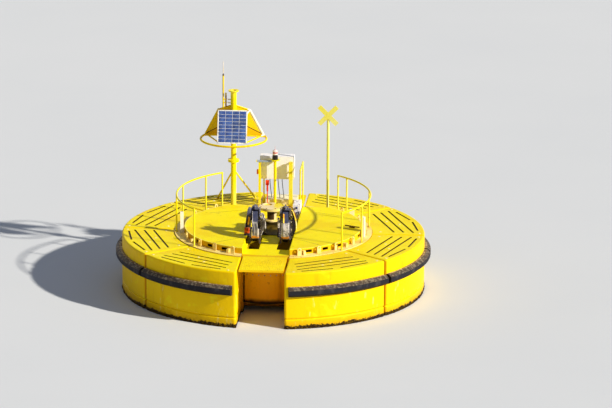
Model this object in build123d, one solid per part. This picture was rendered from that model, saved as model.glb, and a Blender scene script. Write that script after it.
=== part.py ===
from build123d import *
import math
import os

# A big round mooring buoy: eight plastic float segments in two tiers round a steel core,
# a slot in front and behind, two quick-release hooks with a capstan on the centre line,
# handrails, a mast with a radar reflector, a cross topmark and a small equipment gantry.
# X points to the right, Y to the back along the slot, Z up. The origin is on the ground
# under the middle of the hull. All sizes are millimetres and degrees.

# Driving sizes of the float ring
RING_R = 4000.0
TIER_H = 1235.0
FLANGE_T = 25.0
SLOT_W = 1240.0
SEAM_GAP = 24.0
SEAM_ANGLES = (-38.5, 0.0, 42.0)
FLOAT_EDGE_R = 42.0
FLOAT_CORNER_R = 60.0
FIT_GAP = 0.3

# Grooves in the float tops: distance from the centre, share of the chord, sideways turn
GROOVE_W = 50.0
GROOVE_DEPTH = 22.0
LONG_GROOVES = ((3050.0, 0.80), (3290.0, 0.80), (3530.0, 0.82))
SLOT_GROOVE_SHARE = 0.88
EDGE_GROOVE_D = 3800.0
EDGE_GROOVE_L = 850.0
EDGE_GROOVE_TURN = 8.0

# Fender, a D section of rubber on each upper float
FENDER_Z = 2005.0
FENDER_H = 256.0
FENDER_OUT = 165.0
FENDER_END_GAP = 45.0
FENDER_SLOT_GAP = 105.0
FENDER_FLAT_SHARE = 0.46
FENDER_KNEE_SHARE = 0.45

# Steel core
DRUM_R = 2600.0
DRUM_T = 20.0
KEEL_FLANGE_R = 3300.0
KEEL_FLANGE_IN_R = 2250.0
GIRDER_X = 590.0
GIRDER_T = 20.0
GIRDER_Z0 = 1100.0
CROSS_END_GAPS = (450.0, 700.0)
CROSS_Y = (CROSS_END_GAPS[0] - DRUM_R, -950.0, 0.0, 950.0, DRUM_R - CROSS_END_GAPS[1])
CROSS_WEB_T = 14.0
CROSS_FLANGE_W = 160.0
KEEL_BAR_W = 180.0
KEEL_BAR_LAP = 50.0
WELL_Y = -1190.0
WELL_L = 1140.0
WELL_W = 1116.0
WELL_STRIP_W = 460.0
WELL_DEPTH = 330.0
WELL_T = 10.0
FLOOR_T = 12.0
COLUMN_R = 310.0
COLUMN_WALL = 25.0
COLUMN_Z0 = 520.0
EYE_BORE_R = 55.0
EYE_R = 130.0
EYE_T = 80.0
EYE_Z = 330.0

# Rim and raised decks, which sit on the drum and follow its size
RIM_LAP = 10.0
RIM_W = 140.0
GUTTER_W = 120.0
RIM_OUT_R = DRUM_R + RIM_LAP
RIM_IN_R = RIM_OUT_R - RIM_W
DECK_R = RIM_IN_R - GUTTER_W
RIM_H = 20.0
DECK_RISE = 170.0
DECK_T = 12.0
DECK_EDGE_X = 620.0
DECK_BACK_Y = 1900.0
SKIRT_T = 10.0
GUTTER_LAP = 60.0
CHORD_WALL_H = 90.0
DECK_RIBS = 4
DECK_RIB_STEP = 360.0
DECK_RIB_H = 80.0
SCUPPER_W = 170.0
SCUPPER_H = 70.0
SCUPPER_ANGLES = (-62.0, -50.0, -38.0, -12.0, 12.0, 38.0)
PADEYE_ANGLES = (-69.0, -56.0, -43.0, -26.0, 26.0, 46.0)
PADEYE_OUT = 90.0
PADEYE_R = DECK_R + PADEYE_OUT
PADEYE_H = 150.0
PADEYE_W = 110.0
PADEYE_T = 22.0
PADEYE_BORE_R = 27.5
GUSSET_ANGLES = (-65.8, -34.0, 8.0)
GUSSET_W = 60.0
GUSSET_H = 120.0
GUTTER_OVERLAP = 5.0

# Walkways over the slot and the nose panels under them
WALK_W = 1150.0
WALK_END_Y = 3720.0
WALK_T = 10.0
WALK_RIM_H = 55.0
WALK_RIM_T = 12.0
FLOOR_END_GAP = 60.0
WALK_FOOT_X = 480.0
WALK_FOOT_W = 120.0
WALK_FOOT_L = 240.0
WALK_FOOT_H = 60.0
NOSE_W = 1060.0
NOSE_BULGE_R = 1100.0
NOSE_T = 16.0
NOSE_Z0 = 1270.0
NOSE_BAND_Z = 2010.0
NOSE_BAND_H = 180.0
NOSE_BAND_T = 14.0
NOSE_PROUD = 30.0
NOSE_LID_L = 200.0

# Handrails
RAIL_INSET = 50.0
RAIL_R = RIM_OUT_R - RAIL_INSET
RAIL_H = 1020.0
RAIL_TUBE_R = 23.0
RAIL_STEP = 1.5
RAIL_POST_ANGLES = {"right": (-41.0, -20.5, 13.5, 45.0, 52.5), "left": (-41.0, -7.0, 15.0, 40.0, 52.5)}
RAIL_FOOT_R = 55.0
RAIL_FOOT_T = 10.0
HOOP_X = 545.0
HOOP_Y = (2000.0, 2900.0)
HOOP_H = 1140.0

# Mast
POST_INSET = 70.0
POST_R = RIM_IN_R + POST_INSET
MAST_ANGLE = 120.0
MAST_X = POST_R * math.cos(math.radians(MAST_ANGLE))
MAST_Y = POST_R * math.sin(math.radians(MAST_ANGLE))
MAST_TUBE_R = 72.0
MAST_FOOT_T = 20.0
MAST_FOOT_W = 300.0
COLLAR_Z = 1330.0
COLLAR_R = 150.0
COLLAR_T = 34.0
MAST_TOP_Z = 3270.0
TOP_TUBE_R = 80.0
TOP_TUBE_WALL = 12.0
TOP_FLANGE_R = 140.0
TOP_FLANGE_T = 30.0
LAMP_PCD = 200.0
LAMP_BOLT_R = 7.0
LAMP_BOLT_TURNS = (45.0, 135.0, 225.0, 315.0)
BRACE_R = 24.0
BRACE_TOP_Z = 1080.0
BRACE_FEET = ((-1790.0, 3150.0), (-760.0, 3200.0))
BRACE_PAD_W = 150.0
BRACE_PAD_T = 14.0
CAGE_Z0 = 1980.0
CAGE_Z1 = 2690.0
CAGE_R0 = 830.0
CAGE_R1 = 450.0
CAGE_T = 8.0
CAGE_BAR_W = 44.0
CAGE_EDGE_W = 60.0
CAGE_STAY_W = 36.0
CAGE_FINS = (20.0, 160.0)
CAGE_FOOT_RISE = 50.0
CAGE_HEAD_RISE = 180.0
CAGE_FRONT_X = 375.0
CAGE_FRONT_Y0 = 448.0
CAGE_FRONT_Y1 = 250.0
CAGE_FRONT_Z0 = 1940.0
RING_TUBE_R = 29.0
RING_SEAM = 100.0
RING_RAD = 880.0
RING_Z = 1930.0
SOLAR_W = 790.0
SOLAR_H = 890.0
SOLAR_T = 40.0
SOLAR_DROP = 30.0
ANTENNA_X = -280.0
ANTENNA_TIP_Z = 4050.0
ANTENNA_TUBE_TOP_Z = 3700.0
ANTENNA_TUBE_R = 22.0
ANTENNA_WHIP_R = 9.0
ANTENNA_Z0 = 2790.0
ANTENNA_STUB_DX = 70.0
ANTENNA_STUB_H = 400.0
ANTENNA_ARMS = (2920.0, 3010.0)
ANTENNA_ARM_W = 40.0
ANTENNA_ARM_H = 30.0

# Cross topmark
CROSS_ANGLE = 60.0
CROSS_X = POST_R * math.cos(math.radians(CROSS_ANGLE))
CROSS_Y_POS = POST_R * math.sin(math.radians(CROSS_ANGLE))
CROSS_POST_R = 36.0
CROSS_Z = 2640.0
CROSS_ARM = 680.0
CROSS_BAR_W = 125.0
CROSS_BAR_T = 12.0
CROSS_FOOT_W = 180.0
CROSS_FOOT_T = 16.0
CROSS_BITE = 6.0

# Equipment gantry on the rear walkway
GANTRY_Y = 2440.0
GANTRY_LEFT_X = -585.0
GANTRY_RIGHT_X = 255.0
GANTRY_H = 1250.0
GANTRY_POST = 100.0
GANTRY_SLIM = 60.0
STUB_W = 40.0
STUB_INSET = 10.0
CABINET_X = (-590.0, 330.0)
CABINET_Z = (740.0, 1370.0)
DOOR_MARGIN = 120.0
DOOR_MARGIN_FREE = 20.0
DOOR_GAP = 6.0
DOOR_KNUCKLE_R = 14.0
DOOR_PIN_R = 6.0
DOOR_KNUCKLES = (90.0, 450.0)
DOOR_LAP = 30.0
DOOR_HANDLE_W = 30.0
DOOR_HANDLE_H = 120.0
DOOR_HANDLE_INSET = 60.0
HINGE_H = 42.0
HINGE_PLAY = 2.0
HINGE_PLATE_T = 8.0
HINGE_LEAF_W = 30.0
HINGE_ARM_L = 32.0
HINGE_STRAP_L = 60.0
CABINET_Y = (2560.0, 2860.0)
CABINET_WALL = 4.0
CABINET_DOOR_T = 22.0
LAMP_POST_X = -170.0
LAMP_POST_R = 38.0
LAMP_POST_Y = 2420.0
LAMP_POST_H = 1300.0
LAMP_PLATE_R = 125.0
LAMP_PLATE_T = 22.0
LANTERN_R = 78.0
LANTERN_BASE_H = 90.0
LANTERN_LENS_H = 150.0
LANTERN_SPIKE_H = 90.0
LANTERN_SPIKE_R = 7.0
LANTERN_LENS_R = 68.0
LANTERN_CAP_R = 72.0
LANTERN_TIP_R = 20.0
LANTERN_CAP_H = 40.0
GANTRY_STUBS_Z = (800.0, 1200.0)
CABINET_LEG_X = -500.0
CABINET_LEG_Y = 2790.0
CABINET_LEG_R = 20.0
TRAY_X = -470.0
TRAY_L = 420.0
TRAY_W = 130.0
TRAY_T = 30.0

# Boxes on the deck: size along X, Y and Z, centre in X and Y, height of the bottom over the float deck
DECK_BOXES = (
    (840.0, 560.0, 150.0, -20.0, 2900.0, 0.0),
    (190.0, 600.0, 360.0, 500.0, 1620.0, 0.0),
    (120.0, 90.0, 190.0, 1965.0, 1640.0, RIM_H),
)

# Lockers that stand at the rails' ends, the signal lever under the cabinet and the deck cleat
LOCKER_ANGLE = -8.0
LOCKER_OUT = 72.0
LOCKER_R = DECK_R + LOCKER_OUT
LOCKER_T = 90.0
LOCKER_W = 140.0
LOCKER_H = 540.0
SIGNAL_X = -380.0
SIGNAL_Y = 2470.0
SIGNAL_ROD_R = 13.0
SIGNAL_Z = 600.0
SIGNAL_W = 90.0
SIGNAL_H = 125.0
SIGNAL_NECK_R = 24.0
SIGNAL_NECK_H = 180.0
SIGNAL_FOOT_R = 45.0
SIGNAL_FOOT_T = 10.0
CLEAT_X = 2090.0
CLEAT_Y = -60.0
CLEAT_TURN = -25.0
CLEAT_L = 430.0
CLEAT_BASE_L = 150.0
CLEAT_W = 46.0
CLEAT_H = 42.0
CLEAT_HORN_R = 17.0

# Levels above the ground
LOW_Z = FLANGE_T
GROOVE_Z = FLANGE_T + TIER_H
DECK_Z = FLANGE_T + 2 * TIER_H
PLATE_Z = DECK_Z + DECK_RISE

# Hook group on the centre line
HOOK_X = (-440.0, 360.0)
HOOK_YAW = 5.0
HOOK_PIN_Y = -520.0
HOOK_AXIS_Z = DECK_Z + 235.0
HOOK_PIN_R = 38.0
PIN_PLAY = 0.08
SIDE_GAP = 6.0
CROSS_PIN_REACH = 160.0
PIN_HEAD_H = 30.0
PIN_PROUD = 8.0
BED_W = 1090.0
BED_L = 1500.0
BED_T = 20.0
BED_Y = 350.0
PED_W = 200.0
PED_L = 330.0
PED_H = 400.0
PED_GAP = 110.0
LUG_T = 50.0
SWIVEL_R = 75.0
TONGUE_W = 110.0
TONGUE_H = 150.0
CHEEK_X = 125.0
CHEEK_T = 36.0
CHEEK_POINTS = ((600, 110), (600, 330), (690, 560), (770, 800), (830, 880), (950, 880), (985, 700),
                (1010, 260), (1240, 150), (1240, 20), (700, 20))
HOUSING_POINTS = ((700, 520), (768, 780), (820, 850), (850, 850), (850, 520))
BOSS_R = 62.0
HOOK_C_Y = 1080.0
HOOK_C_Z = 430.0
HOOK_OUT_R = 400.0
HOOK_IN_R = 250.0
PRONG_T = 140.0
PRONG_PIN_Y = 930.0
PRONG_PIN_Z = 140.0
PRONG_TIP_ANGLE = 120.0
PRONG_TAIL_ANGLE = 226.0
LEVER_ROOT_Y = 815.0
LEVER_ROOT_Z = 830.0
LEVER_END_Y = 600.0
LEVER_END_Z = 900.0
LEVER_R = 16.0

# Guard bar beside the left hook: sideways from the hook, forward and up from the float deck
GUARD_POINTS = ((120.0, 740.0, 570.0), (240.0, 790.0, 545.0), (215.0, 860.0, 330.0), (125.0, 950.0, 150.0))
GUARD_R = 30.0

# Hydraulic lines from the right pedestal to the power pack: place across and height of the port on
# the pedestal, corner half way, place across and height of the port on the pack, all over the deck
LINE_R = 15.0
BACK_LINES = (
    (50.0, 300.0, (540.0, 330.0, 215.0), 70.0, 185.0),
    (-30.0, 260.0, (420.0, 420.0, 120.0), -10.0, 120.0),
)
LINE_LEAD = 200.0
SIDE_LINE_R = 12.0
SIDE_LINE_BACK = 200.0
SIDE_LINE_OUT = 130.0
SIDE_LINE_AHEAD = 320.0
SIDE_LINE_Z = (330.0, 200.0)

# Capstan
CAPSTAN_X = -110.0
CAPSTAN_Y = 750.0
CAPSTAN_BASE_R = 200.0
CAPSTAN_BASE_H = 60.0
CAPSTAN_SHAFT_R = 45.0
CAPSTAN_SHAFT_H = 330.0
CAPSTAN_Z0 = DECK_Z + BED_T + CAPSTAN_BASE_H + SIDE_GAP
CAPSTAN_BARREL_R = 125.0
CAPSTAN_BARREL_H = 255.0
CAPSTAN_FOOT_R = 175.0
CAPSTAN_FOOT_H = 35.0
CAPSTAN_FLARE_H = 75.0
CAPSTAN_HEAD_R = 345.0
CAPSTAN_HEAD_H = 70.0
CAPSTAN_POCKET_X = -115.0
CAPSTAN_POCKET_Y = 150.0
CAPSTAN_POCKET_R = 115.0
CAPSTAN_POCKET_H = 30.0

HALVES = {"right": 0.0, "left": 180.0}


def save(shape, name):
    """Write one sub-part to its own STEP file."""
    export_step(shape, f"parts/{name}.step")


def polar(radius, angle, z=0.0):
    """A point at a radius and an angle in degrees from the X axis."""
    turn = math.radians(angle)
    return Vector(radius * math.cos(turn), radius * math.sin(turn), z)


def tube(start, end, radius):
    """A solid round bar between two points."""
    start = Vector(*start)
    end = Vector(*end)
    length = (end - start).length
    plane = Plane(origin=start, z_dir=(end - start).normalized())
    return extrude(plane * Circle(radius), length)


def block(size_x, size_y, size_z, at):
    """A box with its bottom centre at a point."""
    box = Box(size_x, size_y, size_z, align=(Align.CENTER, Align.CENTER, Align.MIN))
    return Pos(*at) * box


def disc(radius, height, at):
    """An upright cylinder with its bottom centre at a point."""
    rod = Cylinder(radius, height, align=(Align.CENTER, Align.CENTER, Align.MIN))
    return Pos(*at) * rod


def ring_band(outer, inner, z0, height):
    """An upright ring."""
    face = Circle(outer) - Circle(inner)
    return Pos(0, 0, z0) * extrude(face, height)


def sector(outer, inner, first, last, z0, height):
    """A ring stretch between two angles, under half a turn."""
    reach = outer * 2
    wedge = Polygon(
        (0, 0),
        tuple(polar(reach, first))[:2],
        tuple(polar(reach, (first + last) / 2))[:2],
        tuple(polar(reach, last))[:2],
        align=None,
    )
    face = (Circle(outer) - Circle(inner)) & wedge
    return Pos(0, 0, z0) * extrude(face, height)


def half_spans():
    """The four float modules of one half, as first and last angle."""
    slot_end = math.degrees(math.asin(SLOT_W / 2 / RING_R))
    ends = [-90.0 + slot_end, *SEAM_ANGLES, 90.0 - slot_end]
    return list(zip(ends[:-1], ends[1:]))


def ends_at_slot(angle):
    """Whether a module's end lies at the slot and not at a seam."""
    return abs(angle) > 80.0


def float_outline(first, last):
    """Plan of one float: ring stretch, cut back at the seams and at the slot."""
    ring = Circle(RING_R) - Circle(DRUM_R + FIT_GAP)
    reach = RING_R * 1.5
    middle = (first + last) / 2
    half_seam = SEAM_GAP / 2
    along_first = polar(reach, first)
    along_last = polar(reach, last)
    wedge = Polygon((0, 0), tuple(along_first)[:2], tuple(polar(reach * 1.2, middle))[:2],
                    tuple(along_last)[:2], align=None)
    face = ring & wedge
    for angle in (first, last):
        if ends_at_slot(angle):
            face -= Rectangle(SLOT_W, 4 * RING_R)
        else:
            face -= Rot(0, 0, angle) * Pos(RING_R, 0) * Rectangle(2 * RING_R, 2 * half_seam)
    return face


def float_solid(first, last, z0):
    """One float with rounded corners and edges."""
    body = Pos(0, 0, z0) * extrude(float_outline(first, last), TIER_H)
    upright = body.edges().filter_by(Axis.Z)
    corners = upright.group_by(lambda e: round(math.hypot(e.center().X, e.center().Y)))
    body = fillet(corners[-1], FLOAT_CORNER_R)
    rims = body.edges().group_by(Axis.Z)
    return fillet(list(rims[0]) + list(rims[-1]), FLOAT_EDGE_R)


def deck_grooves(first, last):
    """Anti-slip grooves across one float top, parallel to its chord."""
    middle = (first + last) / 2
    half = math.radians((last - first) / 2)
    cuts = []
    beside_slot = ends_at_slot(first) or ends_at_slot(last)
    for distance, share in LONG_GROOVES:
        length = 2 * distance * math.tan(half) * share * (SLOT_GROOVE_SHARE if beside_slot else 1.0)
        slab = Box(GROOVE_W, length, 2 * GROOVE_DEPTH)
        cuts.append(Rot(0, 0, middle) * Pos(distance, 0, DECK_Z) * slab)
    for side in (-1, 1):
        turn = side * EDGE_GROOVE_TURN
        slab = Box(GROOVE_W, EDGE_GROOVE_L, 2 * GROOVE_DEPTH)
        cuts.append(Rot(0, 0, middle + turn) * Pos(EDGE_GROOVE_D, 0, DECK_Z) * slab)
    return cuts


def make_floats():
    """Two tiers of four floats in each half, a node to each tier of a half."""
    lower = []
    upper = []
    for first, last in half_spans():
        lower += float_solid(first, last, LOW_Z).solids()
        body = float_solid(first, last, GROOVE_Z)
        for cut in deck_grooves(first, last):
            body -= cut
        upper += body.solids()
    for tier, modules in (("lower", lower), ("upper", upper)):
        save(Compound(modules), f"float_{tier}_right")
        save(Compound([mirror_x(module) for module in modules]), f"float_{tier}_left")


def make_fenders():
    """Rubber D fenders on the upper floats, the segments of each half in one node."""
    base = RING_R + FIT_GAP
    low = FENDER_Z - FENDER_H / 2
    high = FENDER_Z + FENDER_H / 2
    flat = FENDER_H * FENDER_FLAT_SHARE
    knee = base + FENDER_OUT * FENDER_KNEE_SHARE
    section = Plane.XZ * Polygon(
        (base, low),
        (knee, low),
        (base + FENDER_OUT, FENDER_Z - flat / 2),
        (base + FENDER_OUT, FENDER_Z + flat / 2),
        (knee, high),
        (base, high),
        align=None,
    )
    pieces = []
    for first, last in half_spans():
        gaps = [FENDER_SLOT_GAP if ends_at_slot(angle) else FENDER_END_GAP for angle in (first, last)]
        start = first + math.degrees(gaps[0] / RING_R)
        end = last - math.degrees(gaps[1] / RING_R)
        pieces += (Rot(0, 0, start) * revolve(section, Axis.Z, end - start)).solids()
    save(Compound(pieces), "fender_right")
    save(Compound([mirror_x(piece) for piece in pieces]), "fender_left")


def make_core():
    """Drum shells, slot girders, keel flange, cross beams, mooring column and hook well."""
    flange = ring_band(KEEL_FLANGE_R, KEEL_FLANGE_IN_R, 0, FLANGE_T)
    for side in (-1, 1):
        flange -= block(SLOT_W, KEEL_FLANGE_R, FLANGE_T, (0, side * (DRUM_R + KEEL_FLANGE_R / 2), 0))
        bar_at = (side * (GIRDER_X - GIRDER_T), 0, 0)
        flange += block(KEEL_BAR_W, 2 * (KEEL_FLANGE_IN_R + KEEL_BAR_LAP), FLANGE_T, bar_at)
    save(flange, "keel_flange")

    edge = math.degrees(math.asin(GIRDER_X / DRUM_R))
    drum_in = DRUM_R - DRUM_T
    shell = sector(DRUM_R, drum_in, -90 + edge, 0, FLANGE_T, DECK_Z - FLANGE_T)
    shell += sector(DRUM_R, drum_in, 0, 90 - edge, FLANGE_T, DECK_Z - FLANGE_T)
    web_l = 2 * (math.sqrt(drum_in**2 - GIRDER_X**2) - FIT_GAP)
    web_h = DECK_Z - FLOOR_T - FLANGE_T
    web = block(GIRDER_T, web_l, web_h, (GIRDER_X - GIRDER_T / 2, 0, FLANGE_T))
    for half, turn in HALVES.items():
        save(Rot(0, 0, turn) * shell, f"core_shell_{half}")
        save(Rot(0, 0, turn) * web, f"core_girder_{half}")

    column = disc(COLUMN_R, DECK_Z - FLOOR_T - COLUMN_Z0, (0, 0, COLUMN_Z0))
    column -= disc(COLUMN_R - COLUMN_WALL, DECK_Z, (0, 0, COLUMN_Z0 + COLUMN_WALL))
    lug = block(2 * EYE_R, EYE_T, COLUMN_Z0 - EYE_Z, (0, 0, EYE_Z))
    lug += Pos(0, 0, EYE_Z) * Rot(90, 0, 0) * Cylinder(EYE_R, EYE_T)
    lug -= Pos(0, 0, EYE_Z) * Rot(90, 0, 0) * Cylinder(EYE_BORE_R, 2 * EYE_T)
    save(column + lug, "mooring_column")

    span = 2 * (GIRDER_X - GIRDER_T - FIT_GAP)
    well_low = DECK_Z - WELL_DEPTH - WELL_T
    well_hole = block(2 * span, WELL_L + 2 * FIT_GAP, DECK_Z, (0, WELL_Y, well_low))
    beams = []
    for at_y in CROSS_Y:
        beam = block(span, CROSS_WEB_T, DECK_Z - FLOOR_T - GIRDER_Z0, (0, at_y, GIRDER_Z0))
        beam += block(span, CROSS_FLANGE_W, CROSS_WEB_T, (0, at_y, GIRDER_Z0))
        beam -= disc(COLUMN_R + FIT_GAP, DECK_Z, (0, 0, 0))
        beam -= well_hole
        beams += beam.solids()
    save(Compound(beams), "cross_beams")

    depth = WELL_DEPTH - FLOOR_T
    well = block(span, WELL_L, depth + WELL_T, (0, WELL_Y, well_low))
    well -= block(span - 2 * WELL_T, WELL_L - 2 * WELL_T, DECK_Z, (0, WELL_Y, DECK_Z - WELL_DEPTH))
    save(well, "hook_well")


def padeye(angle):
    """A round-headed eye plate on the gutter floor, its hole facing outwards."""
    eye = block(PADEYE_T, PADEYE_W, PADEYE_H, (0, 0, 0))
    eye += Pos(0, 0, PADEYE_H) * Rot(0, 90, 0) * Cylinder(PADEYE_W / 2, PADEYE_T)
    eye -= Pos(0, 0, PADEYE_H) * Rot(0, 90, 0) * Cylinder(PADEYE_BORE_R, 2 * PADEYE_T)
    return Pos(*polar(PADEYE_R, angle, DECK_Z + DECK_T)) * Rot(0, 0, angle) * eye


def make_rim():
    """Rim ring with its gutter floor, padeyes and gussets, open at the slot."""
    cut_w = 2 * (DECK_EDGE_X + SKIRT_T + FIT_GAP)
    edge = math.degrees(math.asin(DECK_EDGE_X / RIM_OUT_R))
    gutter_r = RIM_IN_R + GUTTER_OVERLAP
    rim = None
    for first, last in ((-90 + edge, 0), (0, 90 - edge)):
        piece = sector(RIM_OUT_R, RIM_IN_R, first, last, DECK_Z, RIM_H)
        piece += sector(gutter_r, DECK_R - GUTTER_LAP, first, last, DECK_Z, DECK_T)
        rim = piece if rim is None else rim + piece
    beyond = Pos(DECK_R, DECK_BACK_Y - GUTTER_LAP + DECK_R) * Rectangle(2 * DECK_R, 2 * DECK_R)
    rim += Pos(0, 0, DECK_Z) * extrude(Circle(gutter_r) & beyond, DECK_T)
    rim -= block(cut_w, 4 * RING_R, 3 * RIM_H, (0, 0, DECK_Z - RIM_H))
    for angle in PADEYE_ANGLES:
        rim += padeye(angle)
    gusset_in = DECK_R + FIT_GAP
    for angle in GUSSET_ANGLES:
        gusset = block(gutter_r - gusset_in, GUSSET_W, GUSSET_H, ((gutter_r + gusset_in) / 2, 0, DECK_Z))
        rim += Rot(0, 0, angle) * gusset
    save(rim, "rim_right")
    save(mirror_x(rim), "rim_left")


def mirror_x(shape):
    """The same shape on the other side of the centre plane."""
    return mirror(shape, about=Plane.YZ)


def make_decks():
    """Raised deck plates on a skirt with scuppers, left and right of the slot."""
    keep = Pos(DECK_EDGE_X + DECK_R, DECK_BACK_Y - 2 * DECK_R) * Rectangle(2 * DECK_R, 4 * DECK_R)
    outline = Circle(DECK_R) & keep
    inner_keep = Pos(DECK_EDGE_X + SKIRT_T + DECK_R, DECK_BACK_Y - SKIRT_T - 2 * DECK_R)
    inner = Circle(DECK_R - SKIRT_T) & (inner_keep * Rectangle(2 * DECK_R, 4 * DECK_R))
    deck = Pos(0, 0, PLATE_Z - DECK_T) * extrude(outline, DECK_T)
    skirt = Pos(0, 0, DECK_Z + DECK_T) * extrude(outline - inner, DECK_RISE - 2 * DECK_T)
    for angle in SCUPPER_ANGLES:
        hole = Box(8 * SKIRT_T, SCUPPER_W, SCUPPER_H)
        skirt -= Rot(0, 0, angle) * Pos(DECK_R, 0, DECK_Z + DECK_RISE / 2) * hole
    wall_in = DECK_R - GUTTER_LAP - SKIRT_T
    front_y = -math.sqrt(wall_in**2 - (DECK_EDGE_X + SKIRT_T) ** 2)
    back_y = DECK_BACK_Y - GUTTER_LAP - SKIRT_T
    wall_at = (DECK_EDGE_X + SKIRT_T / 2, (back_y + front_y) / 2, DECK_Z + DECK_T - CHORD_WALL_H)
    deck += skirt + block(SKIRT_T, back_y - front_y, CHORD_WALL_H, wall_at)
    for step in range(1, DECK_RIBS + 1):
        rib_x = DECK_EDGE_X + step * DECK_RIB_STEP
        reach = math.sqrt((DECK_R - 2 * SKIRT_T) ** 2 - rib_x**2) - 2 * SKIRT_T
        back = min(reach, DECK_BACK_Y - 2 * SKIRT_T)
        rib_at = (rib_x, (back - reach) / 2, PLATE_Z - DECK_T - DECK_RIB_H)
        deck += block(SKIRT_T, reach + back, DECK_RIB_H, rib_at)
    save(deck, "deck_plate_right")
    save(mirror_x(deck), "deck_plate_left")


def make_walkways():
    """Centre floor, walkways over both ends of the slot and the nose panels."""
    floor_w = 2 * (DECK_EDGE_X - FIT_GAP)
    floor_y = math.sqrt((DRUM_R - DRUM_T) ** 2 - (floor_w / 2) ** 2) - FLOOR_END_GAP
    floor = block(floor_w, 2 * floor_y, FLOOR_T, (0, 0, DECK_Z - FLOOR_T))
    hole_w = (WELL_W - WELL_STRIP_W) / 2
    for side in (-1, 1):
        hole_x = side * (WELL_STRIP_W + hole_w) / 2
        floor -= block(hole_w, WELL_L - 2 * WELL_T, 2 * FLOOR_T, (hole_x, WELL_Y, DECK_Z - 1.5 * FLOOR_T))
    save(floor, "centre_floor")
    for name, side in (("front", -1), ("rear", 1)):
        length = WALK_END_Y - floor_y - FIT_GAP
        mid_y = side * (WALK_END_Y - length / 2)
        walk = block(WALK_W, length, WALK_T, (0, mid_y, DECK_Z - WALK_T))
        free = WALK_END_Y - DRUM_R - DRUM_T
        free_y = side * (WALK_END_Y - free / 2)
        rim_z = DECK_Z - WALK_RIM_H
        walk += block(WALK_W, WALK_RIM_T, WALK_RIM_H, (0, side * (WALK_END_Y - WALK_RIM_T / 2), rim_z))
        foot_y = side * (floor_y + FIT_GAP + WALK_FOOT_L / 2)
        for edge in (-1, 1):
            rim_x = edge * (WALK_W - WALK_RIM_T) / 2
            walk += block(WALK_RIM_T, free, WALK_RIM_H, (rim_x, free_y, rim_z))
            foot_at = (edge * WALK_FOOT_X, foot_y, DECK_Z - WALK_FOOT_H)
            walk += block(WALK_FOOT_W, WALK_FOOT_L, WALK_FOOT_H, foot_at)
        save(walk, f"walkway_{name}")

        centre_y = DRUM_R + NOSE_PROUD - NOSE_BULGE_R
        top_z = DECK_Z - WALK_FOOT_H - FIT_GAP
        front = Pos(0, -NOSE_BULGE_R) * Rectangle(NOSE_W, NOSE_BULGE_R * 1.4)
        arc = (Circle(NOSE_BULGE_R) - Circle(NOSE_BULGE_R - NOSE_T)) & front
        band = (Circle(NOSE_BULGE_R + NOSE_BAND_T) - Circle(NOSE_BULGE_R - NOSE_T)) & front
        panel = Pos(0, 0, NOSE_Z0) * extrude(arc, top_z - NOSE_Z0)
        panel += Pos(0, 0, NOSE_BAND_Z) * extrude(band, NOSE_BAND_H)
        cheek_y = math.sqrt(NOSE_BULGE_R**2 - (NOSE_W / 2) ** 2)
        lid_w = 2 * (GIRDER_X - GIRDER_T - FIT_GAP)
        for lid_z in (top_z - NOSE_T, NOSE_BAND_Z, NOSE_Z0):
            panel += block(lid_w, NOSE_LID_L, NOSE_T, (0, -cheek_y + NOSE_T + NOSE_LID_L / 2, lid_z))
        panel = Pos(0, -centre_y, 0) * panel
        save(panel if side < 0 else Rot(0, 0, 180) * panel, f"nose_panel_{name}")


def make_rails():
    """Two curved handrails on the rim and a straight one beside the rear walkway."""
    base_z = DECK_Z + RIM_H
    height = RAIL_H - RIM_H
    section = Plane.XZ * Pos(RAIL_R, base_z + height) * Circle(RAIL_TUBE_R)
    for half, angles in RAIL_POST_ANGLES.items():
        rail = Rot(0, 0, angles[0]) * revolve(section, Axis.Z, angles[-1] - angles[0])
        for angle in angles:
            at = tuple(polar(RAIL_R, angle, base_z))
            rail += disc(RAIL_FOOT_R, RAIL_FOOT_T, at) + disc(RAIL_TUBE_R - RAIL_STEP, height, at)
        for angle in (angles[0], angles[-1]):
            rail += Pos(*polar(RAIL_R, angle, base_z + height)) * Sphere(RAIL_TUBE_R + RAIL_STEP)
        save(rail if half == "right" else mirror_x(rail), f"handrail_{half}")

    rail_z = DECK_Z + HOOP_H
    hoop = tube((HOOP_X, HOOP_Y[0], rail_z), (HOOP_X, HOOP_Y[1], rail_z), RAIL_TUBE_R)
    for at_y in HOOP_Y:
        hoop += disc(RAIL_TUBE_R - RAIL_STEP, HOOP_H, (HOOP_X, at_y, DECK_Z))
        hoop += Pos(HOOP_X, at_y, rail_z) * Sphere(RAIL_TUBE_R + RAIL_STEP)
    save(hoop, "walkway_rail")


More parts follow.
